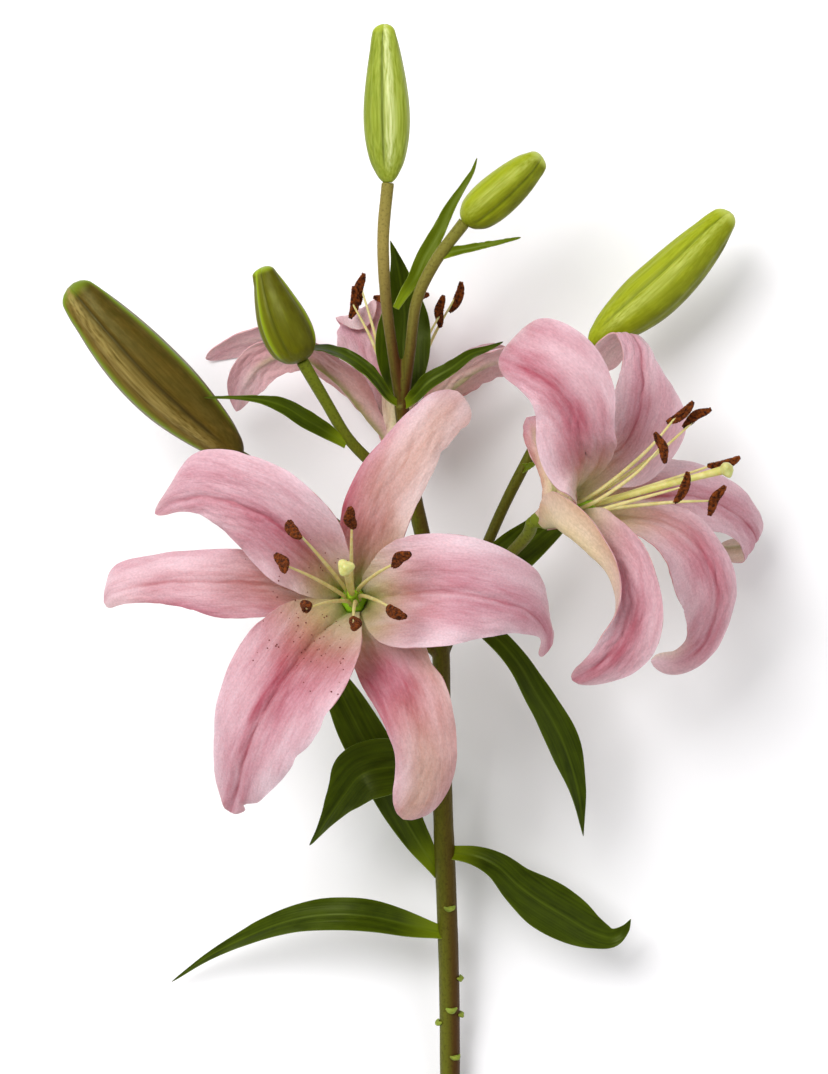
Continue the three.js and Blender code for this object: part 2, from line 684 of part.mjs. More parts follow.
// Offset from a bloom's receptacle: turn in degrees round its axis, radius, and height along it.
function ringPoint(bloom, turn, radius, height) {
  const { forward, first, second } = bloomFrame(bloom);
  const point = forward.multiplyScalar(height);
  point.addScaledVector(first, radius * Math.cos(radians(turn)));
  point.addScaledVector(second, radius * Math.sin(radians(turn)));
  return point;
}

const inPlace = (geometry, bloom) => geometry.translate(...bloom.at);

// What would reach under the table is trimmed to it.
const tableSize = [600, 600, 40];
const table = solidOf(new THREE.BoxGeometry(...tableSize)).translate([0, 0, -tableSize[2] / 2]);

function scarSolid({ along: share, facing }) {
  const curve = new THREE.CatmullRomCurve3(mainStem.map(vec));
  const lengthwise = curve.getTangentAt(share);
  const sideways = lengthwise.clone().cross(up).normalize();
  const out = sideways.clone().multiplyScalar(Math.cos(radians(facing)));
  out.addScaledVector(sideways.clone().cross(lengthwise), Math.sin(radians(facing)));
  const shape = new THREE.SphereGeometry(1, ...facets.scar);
  shape.scale(scarWidth / 2, scarLength / 2, scarHeight);
  const turned = new THREE.Matrix4().makeBasis(out.clone().cross(lengthwise).negate(), lengthwise, out);
  const middle = curve.getPointAt(share).addScaledVector(out, cutRadius - scarSink);
  return solidOf(shape.applyMatrix4(turned.setPosition(middle)));
}

// The stem with its pedicels and receptacles, thicker all round by extra.
function stemSolid(extra) {
  const tube = (path, radii, size) => solidOf(taperedTube(path, radii.map((r) => r + extra), size));
  const pieces = [tube(mainStem, stemRadii, facets.stem)];
  for (const path of Object.values(pedicels)) {
    pieces.push(tube(path, [pedicelRadius, pedicelRadius, pedicelRadius + budFlare], facets.pedicel));
  }
  for (const { at, axis, pedicel } of Object.values(blooms)) {
    const end = vec(at);
    const below = end.clone().addScaledVector(vec(axis).normalize(), -receptacleHeight).toArray();
    const neckRadius = pedicelRadius + bloomFlare;
    pieces.push(tube([...pedicel, below], [pedicelRadius, pedicelRadius, neckRadius], facets.pedicel));
    pieces.push(tube([below, end.toArray()], [neckRadius, receptacleRadius], facets.receptacle));
  }
  return fuse(pieces);
}

const bareStem = stemSolid(0);
const stemWithGap = stemSolid(gap);
place("stem", geometryFrom(fuse([bareStem, ...scars.map(scarSolid)]).subtract(table)), stemGreen);

for (const [name, { path, half }] of Object.entries(leaves)) {
  const shape = blade({ path, face: upperSide, left: half, right: half, cup: cups.leaf, size: facets.leaf });
  place(name, geometryFrom(solidOf(shape).subtract(stemWithGap)), leafGreen);
}

for (const [name, { pedicel, middle, tip, radius }] of Object.entries(buds)) {
  const path = [pedicels[pedicel].at(-1), middle, tip];
  const ribs = (angle) => 1 + budRibs[0] * Math.cos(3 * angle) + budRibs[1] * Math.cos(6 * angle);
  const shape = loft(path, (angle, s) => radius * along(budRadii, s) * ribs(angle), facets.bud);
  place(`bud_${name}`, geometryFrom(solidOf(shape).subtract(stemWithGap)), budGreen);
}

function tepalSolid(bloom, tepal) {
  const foot = ringPoint(bloom, tepal.turn, clawRing, -gap).toArray();
  const shape = blade({
    ...tepal,
    path: [foot, ...tepal.path],
    face: ringPoint(bloom, tepal.turn, -1, 0),
    cup: cups[tepal.kind],
    wave: tepalWave,
    size: facets.tepal,
  });
  return solidOf(inPlace(shape, bloom)).subtract(stemWithGap).subtract(table);
}

// Round ends and a full middle, from end to end of an anther.
const antherSection = (angle, s) => antherEnd + antherRadius * Math.sin(Math.PI * (0.08 + 0.84 * s)) ** 0.7;

function stamenSolid(bloom) {
  const disc = [ringPoint(bloom, 0, 0, gap).toArray(), ringPoint(bloom, 0, 0, gap + discHeight).toArray()];
  const pieces = [loft(disc, () => discRadius, facets.disc)];
  bloom.stamens.forEach(({ at, lies }, i) => {
    const turn = bloom.stamenTurn + (360 * i) / bloom.stamens.length;
    const foot = ringPoint(bloom, turn, filamentRing, gap + filamentSink);
    const lower = ringPoint(bloom, turn, filamentRing + filamentSpread, filamentRise);
    const tip = vec(at);
    const bend = lower.clone().lerp(tip, 0.5).add(ringPoint(bloom, 0, 0, filamentBow));
    const path = [foot, lower, bend, tip].map((p) => p.toArray());
    pieces.push(taperedTube(path, filamentRadii, facets.filament));
    const lie = vec(lies).setLength(antherLength);
    const ends = [-0.5, 0, 0.5].map((share) => tip.clone().addScaledVector(lie, share).toArray());
    pieces.push(loft(ends, antherSection, facets.anther));
  });
  return fuse(pieces.map((piece) => solidOf(inPlace(piece, bloom))));
}

function pistilGeometry(bloom) {
  const foot = ringPoint(bloom, 0, 0, discHeight + 2 * gap);
  const path = [foot.toArray(), ringPoint(bloom, 0, 0, styleFoot).toArray(), bloom.pistil];
  const lobes = (angle, s) => (s > stigmaStart ? 1 + stigmaLobe * Math.cos(3 * angle) : 1);
  return inPlace(loft(path, (angle, s) => along(pistilRadii, s) * lobes(angle, s), facets.pistil), bloom);
}

for (const [bloomName, bloom] of Object.entries(blooms)) {
  for (const [name, tepal] of Object.entries(bloom.tepals)) {
    place(`${bloomName}_tepal_${name}`, geometryFrom(tepalSolid(bloom, tepal)), pink);
  }
  place(`${bloomName}_stamens`, geometryFrom(stamenSolid(bloom)), rust);
  place(`${bloomName}_pistil`, pistilGeometry(bloom), styleGreen);
}

export default spray;
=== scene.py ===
import math

import bpy
import numpy as np
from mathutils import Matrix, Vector
from mathutils.kdtree import KDTree


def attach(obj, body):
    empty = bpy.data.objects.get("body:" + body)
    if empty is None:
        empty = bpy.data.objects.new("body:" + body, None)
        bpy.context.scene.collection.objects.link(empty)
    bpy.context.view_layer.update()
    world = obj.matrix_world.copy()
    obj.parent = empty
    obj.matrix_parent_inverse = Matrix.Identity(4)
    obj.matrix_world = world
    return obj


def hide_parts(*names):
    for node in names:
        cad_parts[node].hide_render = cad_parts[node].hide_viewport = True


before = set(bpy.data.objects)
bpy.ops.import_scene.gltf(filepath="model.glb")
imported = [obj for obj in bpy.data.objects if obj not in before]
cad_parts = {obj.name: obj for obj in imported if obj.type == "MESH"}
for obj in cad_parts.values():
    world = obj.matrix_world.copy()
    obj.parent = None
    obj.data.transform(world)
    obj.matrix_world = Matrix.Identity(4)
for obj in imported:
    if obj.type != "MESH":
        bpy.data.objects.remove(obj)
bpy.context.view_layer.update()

mm = 0.001  # all lengths below are written in millimetres and turned to metres at the mesh
circle = 2 * math.pi


# ---- small tools ----
def linear(hexText, alpha=1.0):
    # sRGB hex to the linear colour that Blender works in
    parts = [int(hexText[i:i + 2], 16) / 255 for i in (1, 3, 5)]
    return [c / 12.92 if c <= 0.04045 else ((c + 0.055) / 1.055) ** 2.4 for c in parts] + [alpha]


def along(values, s):
    # smooth value at s (0 to 1) of a list spread evenly from foot to tip
    values = np.asarray(values, float)
    s = np.asarray(s, float)
    if len(values) == 1:
        return np.full(s.shape, values[0])
    x = np.minimum(s, 0.99999) * (len(values) - 1)
    i = x.astype(int)
    f = x - i
    at = lambda k: values[np.clip(k, 0, len(values) - 1)]
    slopeA = (at(i + 1) - at(i - 1)) / 2
    slopeB = (at(i + 2) - at(i)) / 2
    rise = at(i + 1) - at(i)
    return (at(i) + f * slopeA + f * f * (3 * rise - 2 * slopeA - slopeB)
            + f ** 3 * (slopeA + slopeB - 2 * rise))


def bySide(V, S, left, right):
    return np.where(V < 0, along(left, S), along(right, S))


def smoothStep(low, high, x):
    t = np.clip((x - low) / (high - low), 0, 1)
    return t * t * (3 - 2 * t)


def bell(x, width):
    return np.exp(-(x / width) ** 2)


def unit(vectors):
    vectors = np.asarray(vectors, float)
    return vectors / np.maximum(np.linalg.norm(vectors, axis=-1, keepdims=True), 1e-12)


def curvePoints(path, steps):
    # centripetal curve through the points of the path, cut into steps of one length
    path = np.asarray(path, float)
    ends = np.vstack([2 * path[0] - path[1], path, 2 * path[-1] - path[-2]])
    t = np.linspace(0, 1, 60, endpoint=False)[:, None]
    fine = []
    for p0, p1, p2, p3 in zip(ends, ends[1:], ends[2:], ends[3:]):
        d0, d1, d2 = (max(np.linalg.norm(b - a), 1e-6) ** 0.5 for a, b in ((p0, p1), (p1, p2), (p2, p3)))
        t1 = ((p1 - p0) / d0 - (p2 - p0) / (d0 + d1) + (p2 - p1) / d1) * d1
        t2 = ((p2 - p1) / d1 - (p3 - p1) / (d1 + d2) + (p3 - p2) / d2) * d1
        fine.append(p1 + t1 * t + (3 * (p2 - p1) - 2 * t1 - t2) * t ** 2 + (2 * (p1 - p2) + t1 + t2) * t ** 3)
    fine = np.vstack(fine + [path[-1:]])
    lengths = np.concatenate([[0], np.cumsum(np.linalg.norm(np.diff(fine, axis=0), axis=1))])
    even = np.linspace(0, lengths[-1], steps + 1)
    return np.stack([np.interp(even, lengths, fine[:, k]) for k in range(3)], axis=1), lengths[-1]


def carriedFrames(path, firstNormal, steps):
    # points with a frame that turns as little as possible from one to the next
    points, length = curvePoints(path, steps)
    number = np.arange(steps + 1)
    tangents = unit(points[np.minimum(number + 1, steps)] - points[np.maximum(number - 1, 0)])
    normals = np.empty_like(points)
    normal = np.asarray(firstNormal, float)
    for i, tangent in enumerate(tangents):
        normal = unit(normal - tangent * normal.dot(tangent))
        normals[i] = normal
    return points, normals, np.cross(tangents, normals), length


def placed(name, data):
    made = bpy.data.objects.new(name, data)
    bpy.context.scene.collection.objects.link(made)
    return made


attributeFields = {"FLOAT": "value", "FLOAT_VECTOR": "vector", "FLOAT_COLOR": "color"}


def setAttribute(mesh, name, kind, values):
    attribute = mesh.attributes.get(name) or mesh.attributes.new(name, kind, "POINT")
    attribute.data.foreach_set(attributeFields[kind], np.asarray(values, np.float32).ravel())


def attributeValues(mesh, name, kind, width):
    values = np.empty(len(mesh.vertices) * width, np.float32)
    mesh.attributes[name].data.foreach_get(attributeFields[kind], values)
    return values.reshape(-1, width)


def newMesh(name, vertices, faces, materials, faceMaterials=None, smooth=True):
    mesh = bpy.data.meshes.new(name)
    mesh.from_pydata((np.asarray(vertices) * mm).tolist(), [], faces)
    for material in materials:
        mesh.materials.append(material)
    if faceMaterials is not None:
        mesh.polygons.foreach_set("material_index", faceMaterials)
    mesh.polygons.foreach_set("use_smooth", [smooth] * len(mesh.polygons))
    mesh.update()
    return placed(name, mesh)


def facingOut(vertices, faces):
    # turns a closed shape the right way out
    corners = np.array([[face[0], face[j], face[j + 1]] for face in faces for j in range(1, len(face) - 1)])
    a, b, c = (np.asarray(vertices)[corners[:, k]] for k in range(3))
    volume = np.einsum("ij,ij->i", a, np.cross(b, c)).sum()
    return [face[::-1] for face in faces] if volume < 0 else faces


def joined(name, pieces):
    # one plain mesh from several, with their attributes and materials kept
    bpy.ops.object.select_all(action="DESELECT")
    for piece in pieces:
        piece.select_set(True)
    bpy.context.view_layer.objects.active = pieces[0]
    bpy.ops.object.join()
    pieces[0].name = name
    pieces[0].data.name = name
    return pieces[0]


def baked(piece):
    # the evaluated piece as a plain mesh, with no modifier left on it
    shape = bpy.data.meshes.new_from_object(piece.evaluated_get(bpy.context.evaluated_depsgraph_get()))
    if piece.type == "MESH":
        piece.modifiers.clear()
        piece.data = shape
        return piece
    made = placed(piece.name, shape)
    name = piece.name
    bpy.data.objects.remove(piece)
    made.name = name
    return made


def standsFor(piece, slotName, *nodes):
    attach(piece, "root")
    if nodes:
        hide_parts(*nodes)


# ---- blades: tepals, leaves and bracts ----
# Shares of the blade's length and width, and lengths in mm. Crowding above 1 draws the columns
# together at the midrib; each crease is a length across and a length along.
bladeForm = {"crowding": 1.25, "tipFrom": 0.94, "tipLength": 0.06, "leastTip": 0.12, "bendGrowth": 1.3,
             "ruffles": (5, 8), "swells": 1.5, "grooveWidth": 1.2, "ridgeAt": 3.0, "ridgeWidth": 1.4,
             "creases": ((3.1, 13.0), (4.3, 19.0), (2.3, 9.0)), "edgeThinning": 0.7, "tipThinning": 0.4}


def rolledSection(V, S, half, curlLeft, curlRight, span):
    # Bends each half round between two shares of its width: degrees at the margin, positive
    # towards the upper face.
    share = np.clip((np.abs(V) - span[0]) / (span[1] - span[0]), 0, 1)
    bend = np.radians(bySide(V, S, curlLeft, curlRight)) * share ** bladeForm["bendGrowth"]
    middle = V.shape[1] // 2
    steps = np.diff(V, axis=1) * 0.5 * (half[:, 1:] + half[:, :-1])
    between = 0.5 * (bend[:, 1:] + bend[:, :-1])
    run, rise = steps * np.cos(between), np.abs(steps) * np.sin(between)
    x, lift = np.zeros_like(V), np.zeros_like(V)
    x[:, middle + 1:] = np.cumsum(run[:, middle:], axis=1)
    lift[:, middle + 1:] = np.cumsum(rise[:, middle:], axis=1)
    x[:, :middle] = -np.cumsum(run[:, :middle][:, ::-1], axis=1)[:, ::-1]
    lift[:, :middle] = np.cumsum(rise[:, :middle][:, ::-1], axis=1)[:, ::-1]
    return x, lift


def bladeShape(path, face, left, right, rows, columns, roll=(0,), cup=(0,), wave=(0, 0), groove=0.0,
               ridge=0.0, ruffle=0.0, crinkle=0.0, curlLeft=(0,), curlRight=(0,), span=(0.3, 1), notches=(),
               seed=0):
    # The middle surface of a blade: points in mm with, for each, how far it lies across (-1 to 1)
    # and along (0 to 1), and the same two in mm. V > 0 is the right side seen from the upper face.
    form = bladeForm
    points, normals, acrosses, length = carriedFrames(path, face, rows)
    s = np.linspace(0, 1, rows + 1)
    turn = np.radians(along(roll, s))[:, None]
    side = acrosses * np.cos(turn) - normals * np.sin(turn)
    up = normals * np.cos(turn) + acrosses * np.sin(turn)
    t = np.linspace(-1, 1, columns + 1)
    S, V = np.meshgrid(s, np.sign(t) * np.abs(t) ** form["crowding"], indexing="ij")
    tip = np.sqrt(1 - np.clip((S - form["tipFrom"]) / form["tipLength"], 0, 1) ** 2)
    half = bySide(V, S, left, right) * np.maximum(form["leastTip"], tip)
    for which, at, depth, width in notches:  # small bays in the margin
        half = half * (1 - depth * bell(S - at, width) * (np.sign(V) == which))
    phases = np.random.default_rng(seed).uniform(0, circle, 8)
    x, y = V * half, S * length
    edge, body = np.abs(V), np.sin(math.pi * S)
    reach, lift = rolledSection(V, S, half, curlLeft, curlRight, span)
    lift = lift + along(cup, S) * half * V * V
    lift = lift + wave[0] * edge ** 3 * body * np.sin(circle * wave[1] * S + 2 * V)
    for k, turns in enumerate(form["ruffles"]):  # fine ruffles of the margin, each side with its own beat
        beat = np.where(V < 0, phases[k], phases[k + 2])
        lift = lift + ruffle / (1 + k) * edge ** 5 * body * np.sin(circle * turns * S + beat)
    swell = np.sin(circle * form["swells"] * S + phases[4]) * np.cos(2.2 * V + phases[5])
    lift = lift + 0.25 * ruffle * body * swell
    fade = smoothStep(0.02, 0.14, S) * (1 - 0.55 * S)
    lift = lift - groove * fade * bell(x, form["grooveWidth"])
    lift = lift + ridge * fade * bell(np.abs(x) - form["ridgeAt"], form["ridgeWidth"])
    for k, (across, lengthwise) in enumerate(form["creases"]):
        drift = 1.8 * np.sin(circle * y / lengthwise + phases[k])
        lift = lift + crinkle / (1 + k) * body * np.sin(circle * x / across + phases[k + 2] + drift)
    surface = points[:, None] + side[:, None] * reach[..., None] + up[:, None] * lift[..., None]
    return surface, V, S, x, y


def closedBlade(name, shape, thickness, materials, upperTone, underTone, seed):
    # Two faces 'thickness' apart (midrib, margin) and a rim. The upper face has material 0, the
    # under face material 1 and the rim material 2.
    surface, V, S, x, y = shape
    rows, columns = surface.shape[0] - 1, surface.shape[1] - 1
    padded = np.pad(surface, ((1, 1), (1, 1), (0, 0)), mode="edge")
    lengthwise = padded[2:, 1:-1] - padded[:-2, 1:-1]
    crosswise = padded[1:-1, 2:] - padded[1:-1, :-2]
    thick = thickness[0] + (thickness[1] - thickness[0]) * np.abs(V) ** bladeForm["edgeThinning"]
    thick = thick * (1 - bladeForm["tipThinning"] * smoothStep(0.8, 1, S))
    offset = unit(np.cross(crosswise, lengthwise)) * thick[..., None] / 2
    vertices = np.vstack([(surface + offset).reshape(-1, 3), (surface - offset).reshape(-1, 3)])
    count = (rows + 1) * (columns + 1)
    place = lambda face, i, j: face * count + i * (columns + 1) + j
    faces, kinds = [], []
    for i in range(rows):
        for j in range(columns):
            faces.append([place(0, i, j), place(0, i, j + 1), place(0, i + 1, j + 1), place(0, i + 1, j)])
            faces.append([place(1, i, j), place(1, i + 1, j), place(1, i + 1, j + 1), place(1, i, j + 1)])
            kinds += [0, 1]
    loop = [(i, 0) for i in range(rows)] + [(rows, j) for j in range(columns)]
    loop += [(i, columns) for i in range(rows, 0, -1)] + [(0, j) for j in range(columns, 0, -1)]
    sides = list(zip(loop, loop[1:] + loop[:1]))
    for a, b in sides:
        faces.append([place(1, *a), place(0, *a), place(0, *b), place(1, *b)])
        kinds.append(2)
    piece = newMesh(name, vertices, facingOut(vertices, faces), materials, kinds)
    twice = lambda upper, under: np.concatenate([upper.ravel(), under.ravel()])
    grown = np.full_like(x, 7.3 * seed)  # moves each piece and face to its own stretch of the noise
    setAttribute(piece.data, "bladePlace", "FLOAT_VECTOR",
                 np.stack([twice(x, x), twice(y, y), twice(grown, grown + 3)], axis=1))
    setAttribute(piece.data, "bladeTone", "FLOAT_COLOR",
                 np.stack([twice(a, b) for a, b in zip(upperTone, underTone)], axis=1))
    sharp = piece.data.attributes.new("sharp_edge", "BOOLEAN", "EDGE")
    rim = {frozenset((place(f, *a), place(f, *b))) for f in (0, 1) for a, b in sides}
    sharp.data.foreach_set("value", [frozenset(edge.vertices) in rim for edge in piece.data.edges])
    return piece


# ---- closed lofts: buds, anthers, ovaries ----
def loft(name, path, reach, rows, sides, materials, firstNormal=(0, 0, 1)):
    # rings round a path; reach(angle, s) gives the distance from the path
    points, normals, acrosses, length = carriedFrames(path, firstNormal, rows)
    s = np.linspace(0, 1, rows + 1)
    S, A = np.meshgrid(s, np.linspace(0, circle, sides, endpoint=False), indexing="ij")
    cosine, sine = np.cos(A)[..., None], np.sin(A)[..., None]
    rings = points[:, None] + (acrosses[:, None] * cosine + normals[:, None] * sine) * reach(A, S)[..., None]
    vertices = np.vstack([rings.reshape(-1, 3), points[:1], points[-1:]])
    place = lambda i, j: i * sides + j % sides
    foot, tip = len(vertices) - 2, len(vertices) - 1
    faces = [[place(i, j), place(i, j + 1), place(i + 1, j + 1), place(i + 1, j)]
             for i in range(rows) for j in range(sides)]
    faces += [[foot, place(0, j + 1), place(0, j)] for j in range(sides)]
    faces += [[tip, place(rows, j), place(rows, j + 1)] for j in range(sides)]
    piece = newMesh(name, vertices, facingOut(vertices, faces), materials)
    ends = lambda grid, a, b: np.concatenate([grid.ravel(), [a, b]])
    setAttribute(piece.data, "loftPlace", "FLOAT_VECTOR",
                 np.stack([ends(np.cos(A), 1, 1), ends(np.sin(A), 0, 0), ends(S, 0, 1)], axis=1))
    setAttribute(piece.data, "loftLength", "FLOAT", ends(S * length, 0, length))
    return piece


# ---- node trees ----
def addNode(tree, kind, links=None, **settings):
    # links: socket name or number -> a value, or the socket of another node
    made = tree.nodes.new(kind)
    for name, value in settings.items():
        setattr(made, name, value)
    for socket, value in (links or {}).items():
        if isinstance(value, bpy.types.NodeSocket):
            tree.links.new(value, made.inputs[socket])
        else:
            made.inputs[socket].default_value = value
    return made


def maths(tree, operation, *values, clamp=False):
    made = addNode(tree, "ShaderNodeMath", dict(enumerate(values)), operation=operation, use_clamp=clamp)
    return made.outputs[0]


def spread(tree, value, low, high, toLow=0.0, toHigh=1.0):
    # the range from low to high, drawn out or pressed into another one
    sockets = {"Value": value, "From Min": low, "From Max": high, "To Min": toLow, "To Max": toHigh}
    return addNode(tree, "ShaderNodeMapRange", sockets).outputs[0]


def noise(tree, place, detail, size=None, **sockets):
    # soft noise; size is how long its grain is each way, in the unit of the place
    if size:
        stretch = {0: place, 1: [1 / step for step in size]}
        place = addNode(tree, "ShaderNodeVectorMath", stretch, operation="MULTIPLY").outputs[0]
    sockets = {"Vector": place, "Scale": 1.0, "Detail": detail, **sockets}
    return addNode(tree, "ShaderNodeTexNoise", sockets).outputs["Fac"]


def layered(tree, colour, *coats):
    # coats over a ground colour, each laid on as much as its share says
    colour = linear(colour)
    for share, coat in coats:
        mix = addNode(tree, "ShaderNodeMix", {0: share, 6: colour, 7: linear(coat)}, data_type="RGBA")
        colour = mix.outputs[2]
    return colour


def paintedShares(tree, attribute):
    # the four shares that a piece carries at each of its points
    tone = addNode(tree, "ShaderNodeAttribute", attribute_name=attribute)
    parts = addNode(tree, "ShaderNodeSeparateColor", {0: tone.outputs["Color"]})
    return [*parts.outputs, tone.outputs["Alpha"]]


def newMaterial(name, **shaderValues):
    material = bpy.data.materials.new(name)
    material.use_nodes = True
    tree = material.node_tree
    shader = tree.nodes["Principled BSDF"]
    for socket, value in shaderValues.items():
        shader.inputs[socket.replace("_", " ")].default_value = value
    return material, tree, shader


def dress(tree, shader, colour, roughness, height, depth, strength):
    # colour, roughness and a bump of this depth in metres
    bump = addNode(tree, "ShaderNodeBump", {"Strength": strength, "Distance": depth, "Height": height})
    for socket, value in (("Base Color", colour), ("Roughness", roughness), ("Normal", bump.outputs[0])):
        tree.links.new(value, shader.inputs[socket])


def geometryTree(name, sockets):
    # a node group with a geometry input and output and the named inputs given
    tree = bpy.data.node_groups.new(name, "GeometryNodeTree")
    tree.interface.new_socket("Geometry", in_out="INPUT", socket_type="NodeSocketGeometry")
    for label, kind in sockets.items():
        tree.interface.new_socket(label, in_out="INPUT", socket_type="NodeSocket" + kind)
    tree.interface.new_socket("Geometry", in_out="OUTPUT", socket_type="NodeSocketGeometry")
    return tree, tree.nodes.new("NodeGroupInput").outputs


def finishTree(tree, geometry, material):
    whole = addNode(tree, "GeometryNodeRealizeInstances", {"Geometry": geometry})
    finish = addNode(tree, "GeometryNodeSetMaterial", {"Geometry": whole.outputs[0], "Material": material})
    tree.links.new(finish.outputs[0], tree.nodes.new("NodeGroupOutput").inputs[0])
    return tree


def useTree(piece, tree, **inputs):
    # sets each named input by its socket's identifier, then bakes the result
    modifier = piece.modifiers.new(tree.name, "NODES")
    modifier.node_group = tree
    for item in tree.interface.items_tree:
        if item.in_out == "INPUT" and item.name in inputs:
            modifier[item.identifier] = inputs[item.name]
    return baked(piece)


# ---- tubes that follow a curve: stalks, filaments, styles ----
def curveObject(name, paths, radii):
    # one spline for each path, with its own radii spread along it
    data = bpy.data.curves.new(name, "CURVE")
    data.dimensions = "3D"
    for path, widths in zip(paths, radii):
        steps = max(12, len(path) * 6)
        points = curvePoints(path, steps)[0]
        spline = data.splines.new("POLY")
        spline.points.add(steps)
        spline.points.foreach_set("co", np.column_stack([points * mm, np.ones(steps + 1)]).ravel())
        spline.points.foreach_set("radius", along(widths, np.linspace(0, 1, steps + 1)) * mm)
    return placed(name, data)


def tubeTree():
    tree, given = geometryTree("tube along a curve", {"Sides": "Int", "Step": "Float", "Unevenness": "Float",
                                                      "Finish": "Material"})
    line = {"Curve": given["Geometry"], "Length": given["Step"]}
    fine = addNode(tree, "GeometryNodeResampleCurve", line, mode="LENGTH")
    ring = addNode(tree, "GeometryNodeCurvePrimitiveCircle", {"Resolution": given["Sides"], "Radius": 1.0})
    radius = addNode(tree, "GeometryNodeInputRadius").outputs[0]
    place = addNode(tree, "GeometryNodeInputPosition").outputs[0]
    uneven = addNode(tree, "ShaderNodeTexNoise", {"Vector": place, "W": 0.0, "Scale": 90.0, "Detail": 2.0},
                     noise_dimensions="4D")
    centred = maths(tree, "SUBTRACT", uneven.outputs["Fac"], 0.5)
    swell = maths(tree, "MULTIPLY_ADD", centred, given["Unevenness"], 1.0)
    tube = addNode(tree, "GeometryNodeCurveToMesh", {
        "Curve": fine.outputs[0], "Profile Curve": ring.outputs[0],
        "Scale": maths(tree, "MULTIPLY", radius, swell), "Fill Caps": True})
    smooth = addNode(tree, "GeometryNodeSetShadeSmooth", {"Geometry": tube.outputs[0]})
    return finishTree(tree, smooth.outputs[0], given["Finish"])


def grainTree():
    # small grains scattered over a surface, standing on it
    tree, given = geometryTree("grains on a surface", {"Density": "Float", "Radius": "Float",
                                                       "Height": "Float", "Seed": "Int",
                                                       "Finish": "Material"})
    share = addNode(tree, "GeometryNodeInputNamedAttribute", {"Name": "grainShare"}, data_type="FLOAT")
    scatter = addNode(tree, "GeometryNodeDistributePointsOnFaces", {
        "Mesh": given["Geometry"], "Density": maths(tree, "MULTIPLY", share.outputs[0], given["Density"]),
        "Seed": given["Seed"]})
    grain = addNode(tree, "GeometryNodeMeshIcoSphere", {"Radius": given["Radius"], "Subdivisions": 1})
    size = addNode(tree, "FunctionNodeRandomValue", {2: 0.6, 3: 1.25, "Seed": given["Seed"]},
                   data_type="FLOAT").outputs[1]
    tall = maths(tree, "MULTIPLY", size, given["Height"])
    scale = addNode(tree, "ShaderNodeCombineXYZ", {0: size, 1: size, 2: tall})
    stand = addNode(tree, "GeometryNodeInstanceOnPoints", {
        "Points": scatter.outputs["Points"], "Instance": grain.outputs[0],
        "Rotation": scatter.outputs["Rotation"], "Scale": scale.outputs[0]})
    return finishTree(tree, stand.outputs[0], given["Finish"])


# ---- finishes ----
# Living petal, grown: fine lengthwise veins, a soft mottle and the glisten of the skin's cells, which is
# painted into the colour as a fine grain a few percent brighter and darker. A little light passes through it,
# so that shaded folds stay warm. The veins are drawn a little coarser than the real ones, so that they show,
# and the pale share, partly the skin's whitish colour and partly painted sheen, comes and goes in soft bands
# of painted sheen.
def petalSkin(name, veinDepth, light, rose, cream, green, pale):
    material, tree, shader = newMaterial(name, Roughness=0.5, Subsurface_Weight=0.15, Subsurface_Scale=0.003,
                                         Sheen_Weight=0.06, Sheen_Roughness=0.4, Specular_IOR_Level=0.22)
    shader.inputs["Subsurface Radius"].default_value = (1.0, 0.55, 0.5)
    place = addNode(tree, "ShaderNodeAttribute", attribute_name="bladePlace").outputs["Vector"]
    shares = paintedShares(tree, "bladeTone")
    veins = noise(tree, place, 3.0, (0.9, 9, 1), Roughness=0.6)
    mottle = noise(tree, place, 4.0, (5, 14, 1))
    sheenBands = noise(tree, place, 2.0, (8, 35, 1))
    cells = noise(tree, place, 1.0, (0.6, 0.9, 1))
    shades = maths(tree, "ADD", spread(tree, veins, 0.38, 0.68, -0.1, 0.13),
                   spread(tree, mottle, 0.3, 0.7, -0.14, 0.14))
    rosy = maths(tree, "ADD", shades, shares[0], clamp=True)
    # painted sheen: soft lengthwise bands that lift the pale share
    paleAndSheen = maths(tree, "ADD", spread(tree, sheenBands, 0.42, 0.66, -0.06, 0.2), shares[3], clamp=True)
    skin = layered(tree, light, (rosy, rose), (shares[1], cream), (shares[2], green), (paleAndSheen, pale))
    # painted glisten: the cells' fine grain makes the colour a few percent brighter and darker in turn
    paintedGlisten = {0: skin, "Scale": spread(tree, cells, 0.3, 0.7, 0.93, 1.09)}
    shown = addNode(tree, "ShaderNodeVectorMath", paintedGlisten, operation="SCALE").outputs[0]
    height = maths(tree, "MULTIPLY_ADD", mottle, 1.2, maths(tree, "MULTIPLY_ADD", cells, 0.4, veins))
    dress(tree, shader, shown, spread(tree, mottle, 0.3, 0.7, 0.44, 0.6), height, 0.0006, veinDepth)
    return material


# Waxed leaf, grown: parallel veins 0.8 mm apart, sunk in a dark green skin with a satin gloss.
def leafCuticle(name, roughness, dark, light, young, rib):
    material, tree, shader = newMaterial(name, Roughness=roughness, Specular_IOR_Level=0.2,
                                         Specular_Tint=(0.85, 1.0, 0.35, 1.0))
    place = addNode(tree, "ShaderNodeAttribute", attribute_name="bladePlace").outputs["Vector"]
    shares = paintedShares(tree, "bladeTone")
    veins = noise(tree, place, 2.0, (0.8, 60, 1))
    mottle = noise(tree, place, 5.0, (3, 9, 1))
    lit = spread(tree, maths(tree, "ADD", veins, mottle), 0.7, 1.3)
    skin = layered(tree, dark, (lit, light), (shares[0], young), (shares[1], rib))
    gloss = spread(tree, mottle, 0.3, 0.7, roughness - 0.06, roughness + 0.1)
    dress(tree, shader, skin, gloss, veins, 0.0003, 0.5)
    return material
